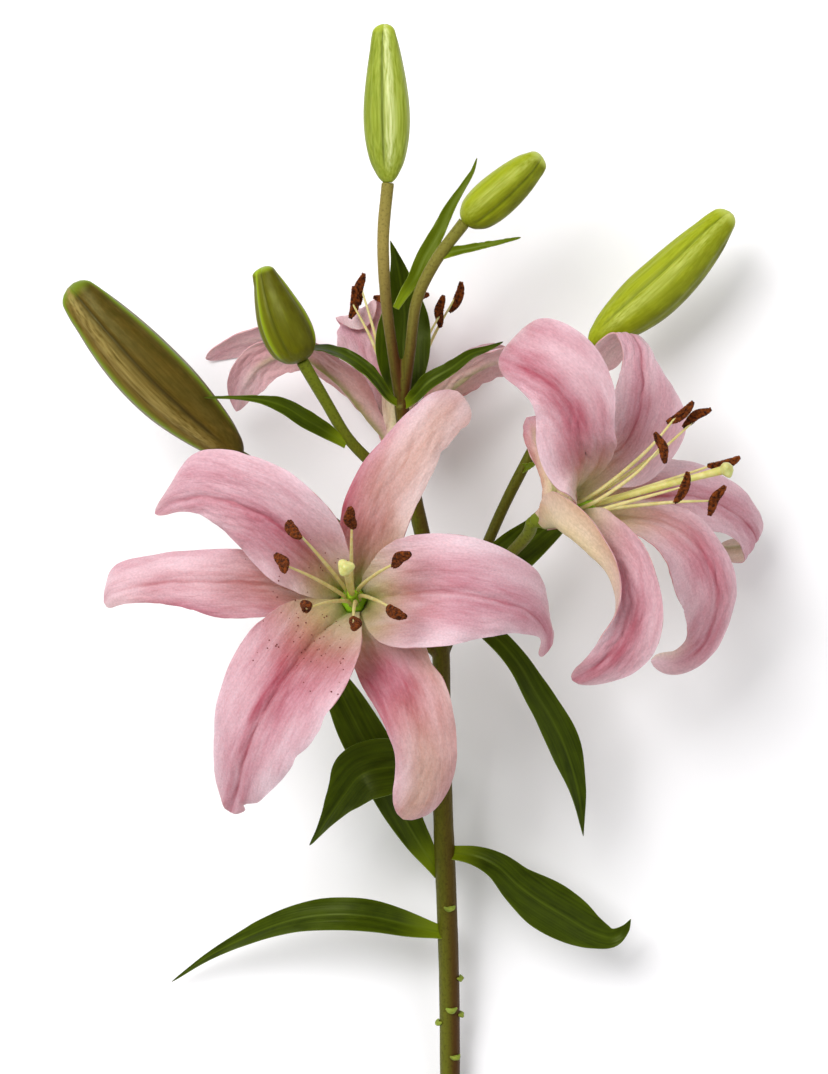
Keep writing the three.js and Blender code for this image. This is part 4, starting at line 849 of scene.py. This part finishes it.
looks = {
    "front right": {"rose": ([0.1, 0.4, 0.6, 0.55, 0.4, 0.4, 0.5], [0.3, 0.3, 0.25, 0.25, 0.3, 0.3, 0.4],
            [0.5, 0.6, 0.35, 0.25, 0.3, 0.3, 0.5])},
    "front top": {"rose": ([0.3, 0.6, 0.7, 0.55, 0.4, 0.35, 0.4], [0.3, 0.6, 0.8, 0.7, 0.5, 0.3, 0.3],
            [0.2, 0.4, 0.4, 0.3, 0.2, 0.3, 0.4]),
        "cream": ([1, 0.5, 0.2, 0.25, 0.3, 0.3, 0.2], [0.8, 0.2, 0, 0, 0, 0, 0],
            [1, 0.8, 0.5, 0.4, 0.35, 0.3, 0.3]),
        "pale": ([0, 0, 0, 0.05, 0.1, 0.15, 0.2], [0, 0, 0, 0.1, 0.2, 0.3, 0.2],
            [0, 0, 0.05, 0.2, 0.25, 0.2, 0.2]), "line": 0.15},
    # the full rose of the left margin, the lower part as the bloom lies, is partly the tepal's own colour and
    # partly painted shade
    "front upper_left": {"rose": ([0.3, 0.5, 0.6, 0.6, 0.55, 0.5, 0.7], [0.5, 0.8, 1, 1, 0.9, 0.7, 0.8],
            [0.2, 0.3, 0.3, 0.35, 0.35, 0.3, 0.5])},
    # the deeper rose of the left half, the lower half as the bloom lies, is partly painted shade, and the
    # pale of the right half is painted highlight
    "front left": {"rose": ([0.3, 0.5, 0.55, 0.4, 0.3, 0.25, 0.2], [0.5, 0.7, 0.8, 0.7, 0.65, 0.5, 0.3],
            [0.4, 0.7, 0.6, 0.4, 0.35, 0.4, 0.3]),
        "cream": ([1, 0.5, 0.2, 0.1, 0.05, 0.05, 0.05], [1, 0.3, 0, 0, 0, 0.1, 0.2],
            [1, 0.4, 0.1, 0, 0, 0, 0]),
        "pale": ([0, 0, 0.05, 0.15, 0.2, 0.2, 0.1], [0, 0, 0, 0, 0, 0.1, 0.2],
            [0, 0, 0.1, 0.2, 0.3, 0.3, 0.2]), "line": 0.7},
    # the pale of both margins is painted sheen, and the deep rose at the midrib is partly the tepal's own
    # colour and partly painted shade in the crease
    "front lower_left": {"rose": ([0.1, 0.6, 0.9, 0.75, 0.5, 0.4, 0.5], [0.5, 0.7, 0.5, 0.2, 0.15, 0.2, 0.4],
            [0.1, 0.5, 0.6, 0.4, 0.25, 0.25, 0.4]),
        "pale": ([0, 0, 0, 0, 0.1, 0.1, 0], [0, 0, 0.05, 0.3, 0.5, 0.5, 0.2],
            [0, 0, 0.05, 0.25, 0.45, 0.5, 0.1]), "line": 0.8},
    "front bottom": {"rose": ([0.1, 0.5, 0.8, 0.75, 0.5, 0.4, 0.4], [0.1, 0.3, 0.5, 0.55, 0.6, 0.55, 0.6],
            [0.2, 0.6, 0.85, 0.75, 0.55, 0.5, 0.5]),
        "cream": ([1, 0.4, 0, 0.1, 0.3, 0.35, 0.3], [1, 0.6, 0.35, 0.25, 0.2, 0.15, 0.1],
            [0.8, 0.3, 0, 0, 0, 0, 0.1]),
        "pale": ([0, 0, 0, 0, 0.1, 0.1, 0.05], [0, 0, 0.1, 0.2, 0.2, 0.15, 0.1],
            [0, 0, 0, 0.1, 0.3, 0.3, 0.1]), "line": 0.05},
    "right near_top": {"rose": ([0.4, 0.8, 1, 0.95, 0.75, 0.6, 0.5], [0.1, 0.15, 0.2, 0.25, 0.3, 0.4, 0.5],
            [0.2, 0.35, 0.6, 0.6, 0.5, 0.45, 0.4]), "line": 0.3},
    "right reflexed": {"rose": ([0.1, 0.3, 0.6, 0.8, 0.9, 0.9, 0.9], [0.2, 0.3, 0.6, 0.8, 0.9, 0.9, 0.9],
            [0.1, 0.2, 0.4, 0.6, 0.8, 0.9, 0.9]), "backRose": 0.5, "backCream": 0.8},
    "right far_top": {"backRose": 0.25, "backCream": 0.3, "backPale": 0.5},
    "back near_left": {"backRose": 0.3, "backCream": 0.3, "backPale": 0.3},
    "back far_left": {"backRose": 0.3, "backCream": 0.2, "backPale": 0.3},
    "back far": {"backRose": 0.2, "backCream": 0.1, "backPale": 0.4},
    "back near_right": {"backRose": 0.3, "backCream": 0.5, "backPale": 0.2},
    "back far_right": {"backRose": 0.3, "backCream": 0.3, "backPale": 0.2},
    "right lower_near": {"backRose": 0.2, "backRim": 0.9,
        "rose": ([0.3, 0.6, 0.8, 0.85, 0.75, 0.65, 0.6], [0.3, 0.5, 0.7, 0.7, 0.6, 0.5, 0.5],
            [0.2, 0.3, 0.5, 0.6, 0.5, 0.5, 0.5])},
    "right lower_far": {"rose": ([0.3, 0.5, 0.6, 0.6, 0.55, 0.5, 0.5], [0.3, 0.4, 0.4, 0.4, 0.4, 0.4, 0.5],
            [0.3, 0.5, 0.5, 0.5, 0.5, 0.5, 0.5]),
        "cream": ([1, 0.8, 0.2, 0, 0, 0, 0], [1, 0.8, 0.1, 0, 0, 0, 0.1], [1, 0.8, 0.1, 0, 0, 0.1, 0.7]),
        "pale": ([0, 0, 0.05, 0.1, 0.1, 0.1, 0.6], [0, 0.1, 0.3, 0.4, 0.4, 0.3, 0.5],
            [0, 0.1, 0.3, 0.4, 0.4, 0.3, 0.5])},
    "right far": {"backRose": 0.2, "backCream": 0.9, "backPale": 0.3, "creamEnd": (0.6, 1.4),
        "greenEnd": (0.9, 1.3)},
}
bladeKeys = ("rows", "columns", "roll", "cup", "wave", "groove", "ridge", "ruffle", "crinkle", "curlLeft",
             "curlRight", "span", "notches")


def bladeOptions(values):
    return {key: values[key] for key in bladeKeys if key in values}


def painted(V, S, middle, left, right):
    share = np.abs(V) ** 1.6
    return along(middle, S) * (1 - share) + bySide(V, S, left, right) * share


def tepalTone(V, S, x, look):
    # rose, cream, green and pale of the upper face, with a dark line on the midrib and beside it
    fade = smoothStep(0.04, 0.18, S) * (1 - smoothStep(0.8, 1, S))
    lines = look["line"] * fade * (bell(x, 0.8) + 0.35 * bell(np.abs(x) - 2.6, 0.9))
    green = look["throat"] * (1 - smoothStep(0.03, 0.24, S)) * bell(x, 3.5)
    rose, cream, pale = (painted(V, S, *look[tint]) for tint in ("rose", "cream", "pale"))
    return [np.clip(share, 0, 1) for share in (rose + lines, cream, green, pale)]


def backTone(V, S, x, look):
    # the under face: cream at the foot and beside a green midrib, rose towards the margins and tip
    cream = look["backCream"] * (1 - smoothStep(*look["creamEnd"], S)) * (1 - 0.5 * np.abs(V) ** 2)
    rose = look["backRose"] + look["backRim"] * np.abs(V) ** 2 + 0.1 * S
    green = 0.8 * (1 - smoothStep(*look["greenEnd"], S)) * bell(x, 1.3)
    pale = look["backPale"] * smoothStep(0.3, 0.9, S)
    return [np.clip(share, 0, 1) for share in (rose, cream, green, pale)]


def ringPoint(bloom, turn, radius, height):
    # a place round the bloom's axis: degrees round it, mm away from it and mm up it
    axis = unit(bloom["axis"])
    reference = np.array([1.0, 0, 0]) if abs(axis[2]) > 0.8 else np.array([0, 0, 1.0])
    first = unit(reference - axis * reference.dot(axis))
    angle = math.radians(turn)
    return axis * height + radius * (first * math.cos(angle) + np.cross(axis, first) * math.sin(angle))


def onAxis(bloom, height):
    return ringPoint(bloom, 0, 0, height)


def makeTepal(bloomName, bloom, name, tepal, seed):
    build = {**(petalBuild if tepal["kind"] == "petal" else sepalBuild), **tepal}
    look = {**plainLook, **looks.get(f"{bloomName} {name}", {})}
    path = [ringPoint(bloom, tepal["turn"], 3.9, -0.3)] + [np.array(p, float) for p in tepal["path"]]
    left, right = ([build["foot"]] + tepal[side][1:] for side in ("left", "right"))
    shape = bladeShape([p + bloom["at"] for p in path], ringPoint(bloom, tepal["turn"], -1, 0), left, right,
                       seed=seed, **bladeOptions(build))
    V, S, x = shape[1:4]
    piece = closedBlade(f"{bloomName}Tepal_{name}", shape, build["thickness"],
                        [finishes["inner"], finishes["outer"], finishes["margin"]],
                        tepalTone(V, S, x, look), backTone(V, S, x, look), seed)
    standsFor(piece, "tepal", f"{bloomName}_tepal_{name}")
    return piece


blooms = {"front": frontBloom, "right": rightBloom, "back": backBloom}
tepals = {}
for number, (bloomName, bloom) in enumerate(blooms.items()):
    for k, (name, tepal) in enumerate(bloom["tepals"].items()):
        tepals[f"{bloomName} {name}"] = makeTepal(bloomName, bloom, name, tepal, 10 * number + k)
print("tepals made:", len(tepals))


# ---- stamens and pistils ----
stamenBuild = {"filamentRing": 2.1, "filamentRadius": 0.62, "antherLength": 11.8, "antherBows": (-1.0, 1.3),
               "grains": 7e6, "grainRadius": 0.00026, "discRadii": [2.8, 3.4, 4.1, 4.7, 4.2], "discHeight": 8}
pistilBuild = {"ovaryRadius": 2.5, "ovaryWidths": [0.8, 1, 1, 0.95, 0.65], "ovaryHeight": 19,
               "styleRadius": 1.25, "stigmaRadius": 2.7, "stigmaWidths": [0.45, 0.75, 1, 1.02, 0.8, 0.35]}
# dark papillae on the lower part of some inner faces: how many on a square metre
papillae = {"front lower_left": 4.5e4, "front left": 1.5e4, "front upper_left": 8e3}
tubes = tubeTree()
grains = grainTree()


def copied(piece, name):
    made = piece.copy()
    made.data = piece.data.copy()
    made.name = name
    bpy.context.scene.collection.objects.link(made)
    return made


def makeStamens(bloomName, bloom):
    build = stamenBuild
    at = np.array(bloom["at"], float)

    def reach(A, S):  # a groove runs down one side of the anther
        groove = 1 + 0.2 * np.cos(2 * A) - 0.35 * bell(A - math.pi / 2, 0.4)
        body = bloom["antherRadius"] * np.sin(math.pi * (0.05 + 0.9 * S)) ** 0.7
        return (0.15 + body * (1 + 0.1 * np.sin(9 * S + A))) * groove

    paths, anthers = [], []
    for i, stamen in enumerate(bloom["stamens"]):
        turn = bloom["stamenTurn"] + 360 * i / len(bloom["stamens"])
        foot = ringPoint(bloom, turn, build["filamentRing"], 0.8)
        lower = ringPoint(bloom, turn, build["filamentRing"] + 0.8, 17)
        tip = np.array(stamen["at"], float)
        bend = (lower + tip) / 2 + onAxis(bloom, 5)
        paths.append([p + at for p in (foot, lower, bend, tip)])
        lie = unit(stamen["lies"]) * build["antherLength"]
        bow = unit(np.cross(lie, [0.3, 0.2, 1])) * build["antherBows"][i % 2]
        ends = [tip + at - lie / 2, tip + at + bow, tip + at + lie / 2]
        anther = loft(f"{bloomName}Anther_{i}", ends, reach, 26, 20, [finishes["pollen"]])
        setAttribute(anther.data, "grainShare", "FLOAT", np.ones(len(anther.data.vertices)))
        anthers.append(anther)
    thread = build["filamentRadius"]
    radii = [[thread + 0.3, thread + 0.1, thread, 0.35]] * len(paths)
    filaments = useTree(curveObject(f"{bloomName}Filaments", paths, radii), tubes, Sides=10, Step=0.0012,
                        Unevenness=0.15, Finish=finishes["filament"])
    discWidth = lambda A, S: along(build["discRadii"], S) * (1 + 0.06 * np.cos(6 * A))
    disc = loft(f"{bloomName}Disc", [at + onAxis(bloom, 0.3), at + onAxis(bloom, build["discHeight"])],
                discWidth, 12, 36, [finishes["ovary"]])
    body = joined(f"{bloomName}Anthers", anthers)
    crumbs = useTree(copied(body, f"{bloomName}Pollen"), grains, Density=build["grains"],
                     Radius=build["grainRadius"], Height=0.8, Seed=3, Finish=finishes["pollen"])
    standsFor(filaments, "stamen", f"{bloomName}_stamens")
    for piece in (disc, body, crumbs):
        standsFor(piece, "stamen")


def makePistil(bloomName, bloom):
    build = pistilBuild
    at = np.array(bloom["at"], float)
    foot, neck = onAxis(bloom, 2), onAxis(bloom, build["ovaryHeight"])
    head = np.array(bloom["pistil"], float)
    bend = (neck + head) / 2 + onAxis(bloom, 3)
    way = unit(head - bend)

    def ovaryWidth(A, S):
        return build["ovaryRadius"] * along(build["ovaryWidths"], S) * (1 + 0.1 * np.cos(3 * A))

    def stigmaWidth(A, S):  # three lobes
        lobes = 1 + 0.2 * np.cos(3 * A) * smoothStep(0.2, 0.7, S)
        return build["stigmaRadius"] * along(build["stigmaWidths"], S) * lobes

    ovary = loft(f"{bloomName}Ovary", [at + foot, at + (foot + neck) / 2, at + neck], ovaryWidth, 20, 24,
                 [finishes["ovary"]])
    line = [at + p for p in (onAxis(bloom, 13), onAxis(bloom, 16), bend, head)]
    radii = [0.9, build["styleRadius"], build["styleRadius"], 1.2, 1.5]
    style = useTree(curveObject(f"{bloomName}Style", [line], [radii]), tubes, Sides=16, Step=0.001,
                    Unevenness=0.1, Finish=finishes["style"])
    stigma = loft(f"{bloomName}Stigma", [at + head - way * 2, at + head + way * 2.6], stigmaWidth, 18, 30,
                  [finishes["stigma"]])
    standsFor(style, "pistil", f"{bloomName}_pistil")
    standsFor(ovary, "pistil")
    standsFor(stigma, "pistil")


def makePapillae(name, density, seed):
    dots = copied(tepals[name], name.replace(" ", "Papillae_"))
    share = attributeValues(dots.data, "bladePlace", "FLOAT_VECTOR", 3)[:, 1]
    share = share / share.max()
    strewn = smoothStep(0.12, 0.2, share) * (1 - smoothStep(0.34, 0.5, share))
    strewn[len(strewn) // 2:] = 0  # none on the under face
    setAttribute(dots.data, "grainShare", "FLOAT", strewn)
    dots = useTree(dots, grains, Density=density, Radius=0.0003, Height=0.9, Seed=seed,
                   Finish=finishes["papilla"])
    standsFor(dots, "tepal")


for seed, (name, density) in enumerate(papillae.items()):
    makePapillae(name, density, seed + 5)

for bloomName, bloom in blooms.items():
    makeStamens(bloomName, bloom)
    makePistil(bloomName, bloom)
print("stamens and pistils made")


# ---- buds ----
# For each bud its width from foot to tip, where round it the seam and the ridge run and where its
# painted shade lies, on the side away from the key light (degrees; 90 faces up when the stem lies down),
# and how strong each shows.
plainBud = {"finish": "greenBud", "shares": [0.55, 0.82, 0.96, 1, 0.97, 0.88, 0.76, 0.6, 0.42], "seamAt": 105,
            "seam": 0.5, "ridgeAt": 150, "ridge": 0, "stripeAt": 125, "stripe": 0.3, "paintedShadeAt": -20,
            "dark": 0.5}
budLooks = {
    "top": {"finish": "paleBud", "seamAt": 104, "seam": 0.9, "stripeAt": 84, "stripe": 0.75, "paintedShadeAt": 200,
        "dark": 0.4, "shares": [0.34, 0.72, 0.92, 1, 0.98, 0.89, 0.76, 0.6, 0.4]},
    "upper_right": {"finish": "greenBud", "seamAt": 58, "seam": 0.5, "stripeAt": 100, "stripe": 0.35,
        "paintedShadeAt": 10, "dark": 0.9, "shares": [0.46, 0.82, 0.96, 1, 0.98, 0.92, 0.82, 0.66, 0.42]},
    "small_left": {"finish": "oliveBud", "seamAt": 118, "seam": 0.7, "ridgeAt": 146, "ridge": 0.9,
        "stripe": 0, "paintedShadeAt": 30, "dark": 0.8,
        "shares": [0.52, 0.86, 0.99, 1, 0.94, 0.82, 0.68, 0.52, 0.38]},
    "large_left": {"finish": "brownBud", "seamAt": 98, "seam": 1, "ridgeAt": 152, "ridge": 1, "stripeAt": 122,
        "stripe": 0.9, "paintedShadeAt": 20, "dark": 0.9,
        "shares": [0.34, 0.64, 0.84, 0.97, 1, 0.96, 0.85, 0.68, 0.44]},
    "large_right": {"finish": "greenBud", "seamAt": 118, "seam": 0.6, "stripeAt": 100, "stripe": 0.4,
        "paintedShadeAt": 0, "dark": 0.9, "shares": [0.34, 0.66, 0.88, 1, 1, 0.94, 0.82, 0.64, 0.4]},
}


def threeLines(A, degrees, width):
    # 1 on three lines that run the length of the bud, evenly round it
    turns = (np.mod(A - math.radians(degrees + 120 * k) + math.pi, circle) - math.pi for k in range(3))
    return sum(bell(turn, width) for turn in turns)


def makeBud(name, bud):
    look = {**plainBud, **budLooks[name]}

    def width(S):  # rounded off at both ends
        foot = np.sqrt(1 - np.clip((0.05 - S) / 0.06, 0, 1) ** 2)
        tip = np.sqrt(1 - np.clip((S - 0.95) / 0.052, 0, 1) ** 2)
        return bud["radius"] * along(look["shares"], S) * foot * tip

    def reach(A, S):  # lobed towards the tip, with seams, folds beside them and ridges
        fade = smoothStep(0.02, 0.2, S)
        depth = 0.05 + 0.16 * smoothStep(0.82, 1, S)
        lobes = 1 + depth * np.cos(3 * (A - math.radians(look["seamAt"] + 60)))
        seams = 0.07 * threeLines(A, look["seamAt"], 0.09) + 0.03 * threeLines(A, look["seamAt"] + 38, 0.12)
        ridges = 0.03 * look["ridge"] * threeLines(A, look["ridgeAt"], 0.1)
        return width(S) * (lobes + (ridges - seams) * fade)

    path = [stalks[bud["stalk"]][-1], bud["middle"], bud["tip"]]
    piece = loft(f"bud_{name}_skin", path, reach, 90, 96, [finishes[look["finish"]]])
    cosine, sine, share = attributeValues(piece.data, "loftPlace", "FLOAT_VECTOR", 3).T
    length = attributeValues(piece.data, "loftLength", "FLOAT", 1)[:, 0]
    angle, radius = np.arctan2(sine, cosine), width(share)
    setAttribute(piece.data, "loftPlace", "FLOAT_VECTOR",
                 np.stack([cosine * radius, sine * radius, length], axis=1))
    fade = smoothStep(0.04, 0.2, share)
    seam = look["seam"] * threeLines(angle, look["seamAt"], 0.07) * fade
    ridge = look["ridge"] * threeLines(angle, look["ridgeAt"], 0.1) * fade
    ridge = ridge + 0.8 * smoothStep(0.93, 0.99, share)
    # painted shade: the dark share is strongest on the side turned away from the key light
    dark = look["dark"] * np.clip(0.35 + 0.75 * np.cos(angle - math.radians(look["paintedShadeAt"])), 0, 1)
    stripe = look["stripe"] * threeLines(angle, look["stripeAt"], 0.22) * fade
    setAttribute(piece.data, "loftTone", "FLOAT_COLOR",
                 np.clip(np.stack([seam, ridge, dark, stripe], axis=1), 0, 1))
    standsFor(piece, "bud", f"bud_{name}")


for name, bud in buds.items():
    makeBud(name, bud)
print("buds made:", len(buds))


# ---- leaves and bracts ----
leafBuild = {"rows": 90, "columns": 20, "cup": [0.3, 0.2, 0.1], "groove": 0.45, "ruffle": 0.25,
             "thickness": (0.7, 0.4)}


def makeLeaf(name, leaf, seed):
    shape = bladeShape(leaf["path"], unit([0, 0.3, 1]), leaf["half"], leaf["half"], seed=seed,
                       **bladeOptions(leafBuild))
    V, S, x = shape[1:4]
    young = np.clip(leaf.get("fresh", 0) + 1 - smoothStep(0.02, 0.2, S) + 0.15 * np.abs(V) ** 8, 0, 1)
    rib = 0.45 * bell(x, 0.35) * (1 - smoothStep(0.8, 1, S))
    tone = [young, rib, 0 * S, 0 * S]
    skins = [finishes["leafUpper"], finishes["leafUnder"], finishes["leafUnder"]]
    blade = closedBlade(name.replace("_", "") + "Blade", shape, leafBuild["thickness"], skins, tone, tone,
                        seed + 40)
    standsFor(blade, "leaf", name)


for seed, (name, leaf) in enumerate(leaves.items()):
    makeLeaf(name, leaf, seed)
print("leaves and bracts made:", len(leaves))


# ---- stem ----
stemBuild = {"radii": [3.8, 3.8, 3.8, 3.4, 3, 2.7], "cutRadius": 3.8, "stalkRadius": 2.1, "receptacle": 4.6,
             "receptacleHeight": 5, "voxel": 0.6, "softening": 3}


def receptacleOf(bloom):
    # the foot and the end of the swelling that carries a bloom
    end = np.array(bloom["at"], float)
    return end - unit(bloom["axis"]) * stemBuild["receptacleHeight"], end


def makeStem():
    build = stemBuild
    thin = build["stalkRadius"]
    paths = list(stalks.values())
    radii = [build["radii"]] + [[thin, thin, thin + 0.2]] * (len(paths) - 1)
    for bloom in blooms.values():
        below, end = receptacleOf(bloom)
        paths += [bloom["pedicel"] + [below.tolist()], [below, (below + end) / 2, end]]
        radii += [[thin, thin, thin + 0.3], [thin + 0.3, 3.2, build["receptacle"]]]
    tube = useTree(curveObject("stem_skin", paths, radii), tubes, Sides=32, Step=0.0012, Unevenness=0.12,
                   Finish=finishes["stalk"])
    remesh = tube.modifiers.new("one skin", "REMESH")
    remesh.mode = "VOXEL"
    remesh.voxel_size = build["voxel"] * mm
    remesh.use_smooth_shade = True
    tube.modifiers.new("soften", "SMOOTH").iterations = build["softening"]
    stem = baked(tube)
    stem.data.materials.clear()
    stem.data.materials.append(finishes["stalk"])
    return stem


# tan, green and brown share of each stalk's skin from foot to tip; what is left is olive. The brown is laid
# on the right side only, away from the key light, so it is partly the stalk's own brown and partly painted
# shade
stalkTones = {
    "main": ([0.1, 0.1, 0.05, 0, 0, 0, 0.1], [0.5, 0.4, 0.3, 0.2, 0.2, 0.3, 0.3],
        [0.9, 0.9, 0.7, 0.4, 0.4, 0.6, 0.8]),
    "topBud": ([0, 0.1, 0.45, 0.8, 0.7], [0, 0, 0, 0.05, 0.2], [1, 0.9, 0.4, 0, 0]),
    "upperRightBud": ([0, 0.1, 0.35, 0.5, 0.4], [0, 0.1, 0.2, 0.3, 0.4], [1, 0.8, 0.4, 0.2, 0]),
    "smallLeftBud": ([0, 0, 0, 0, 0], [0.1, 0.2, 0.5, 0.7, 0.8], [0.6, 0.3, 0, 0, 0]),
    "largeLeftBud": ([0, 0, 0.1], [0.1, 0.3, 0.5], [0.3, 0.3, 0.2]),
    "largeRightBud": ([0, 0, 0.1], [0.1, 0.3, 0.6], [0.3, 0.2, 0]),
    "pedicel": ([0.1, 0.15, 0.2, 0.1], [0.1, 0.2, 0.3, 0.8], [0.5, 0.6, 0.4, 0]),
    "receptacle": ([0, 0.1], [0.9, 1], [0]),
}


def paintStem(stem):
    # each point of the skin takes the tones of the nearest place on a stalk's middle line
    lines = [(path, stalkTones[name]) for name, path in stalks.items()]
    for bloom in blooms.values():
        below, end = (place.tolist() for place in receptacleOf(bloom))
        lines += [(bloom["pedicel"] + [below], stalkTones["pedicel"]),
                  ([below, end], stalkTones["receptacle"])]
    steps = 60
    share = np.linspace(0, 1, steps + 1)
    middles = np.vstack([curvePoints(path, steps)[0] for path, tones in lines])
    tones = np.vstack([np.stack([along(one, share) for one in tones], axis=1) for path, tones in lines])
    tree = KDTree(len(middles))
    for number, middle in enumerate(middles):
        tree.insert(middle, number)
    tree.balance()
    nearest = np.array([tree.find(vertex.co / mm)[1] for vertex in stem.data.vertices])
    skin = np.array([vertex.co for vertex in stem.data.vertices]) / mm
    # painted shade: the brown share is kept only where the skin faces right, away from the key light
    shadedSide = unit(skin - middles[nearest])[:, 0]
    found = tones[nearest]
    found[:, 2] *= smoothStep(-0.5, 0.5, shadedSide)
    setAttribute(stem.data, "stalkTone", "FLOAT_COLOR",
                 np.clip(np.column_stack([found, np.ones(len(found))]), 0, 1))


# leaf scars: a low crescent of pale tissue with a lip, where a leaf was stripped from the stem
scarBuild = {"width": 5, "lip": 1.1, "thick": 0.75, "stemRadius": 3.7, "sunk": 0.3}


def makeScars():
    build, made = scarBuild, []
    points = curvePoints(stalks["main"], 200)[0]
    half = build["width"] / 2
    for k, scar in enumerate(scars):
        i = int(200 * scar["along"])
        lengthwise = unit(points[i + 1] - points[max(i - 1, 0)])
        sideways = unit(np.cross(lengthwise, [0, 0, 1]))
        facing = math.radians(scar["facing"])
        out = sideways * math.cos(facing) + np.cross(sideways, lengthwise) * math.sin(facing)
        across = np.cross(lengthwise, out)
        place = points[i] + out * (build["stemRadius"] - build["sunk"])
        path = [place + across * half * t + (out - lengthwise) * build["lip"] * (1 - t * t)
                for t in (-0.85, -0.4, 0, 0.4, 0.85)]
        lumps = lambda A, S: 1 + 0.15 * np.sin(3 * A + 7 * S + k)
        reach = lambda A, S: build["thick"] * (0.35 + np.sin(math.pi * S)) * lumps(A, S)
        made.append(loft(f"scar_{k}", path, reach, 18, 14, [finishes["scar"]], out))
    standsFor(joined("leafScars", made), "stem")


def makeCut():
    # the fresh cut across the foot of the stem, pith in the middle
    foot, above = np.array(stalks["main"][:2], float)
    way = unit(foot - above) * [1, 1, 0.4]
    width = lambda A, S: stemBuild["cutRadius"] * (0.93 - 0.12 * S ** 2) * (1 + 0.02 * np.sin(5 * A))
    cut = loft("stemCut", [foot - way * 0.6, foot + way * 0.35], width, 6, 32, [finishes["cut"]])
    standsFor(cut, "stem")


stem = makeStem()
paintStem(stem)
standsFor(stem, "stem", "stem")
makeScars()
makeCut()
print("stem made:", len(stem.data.polygons), "faces")
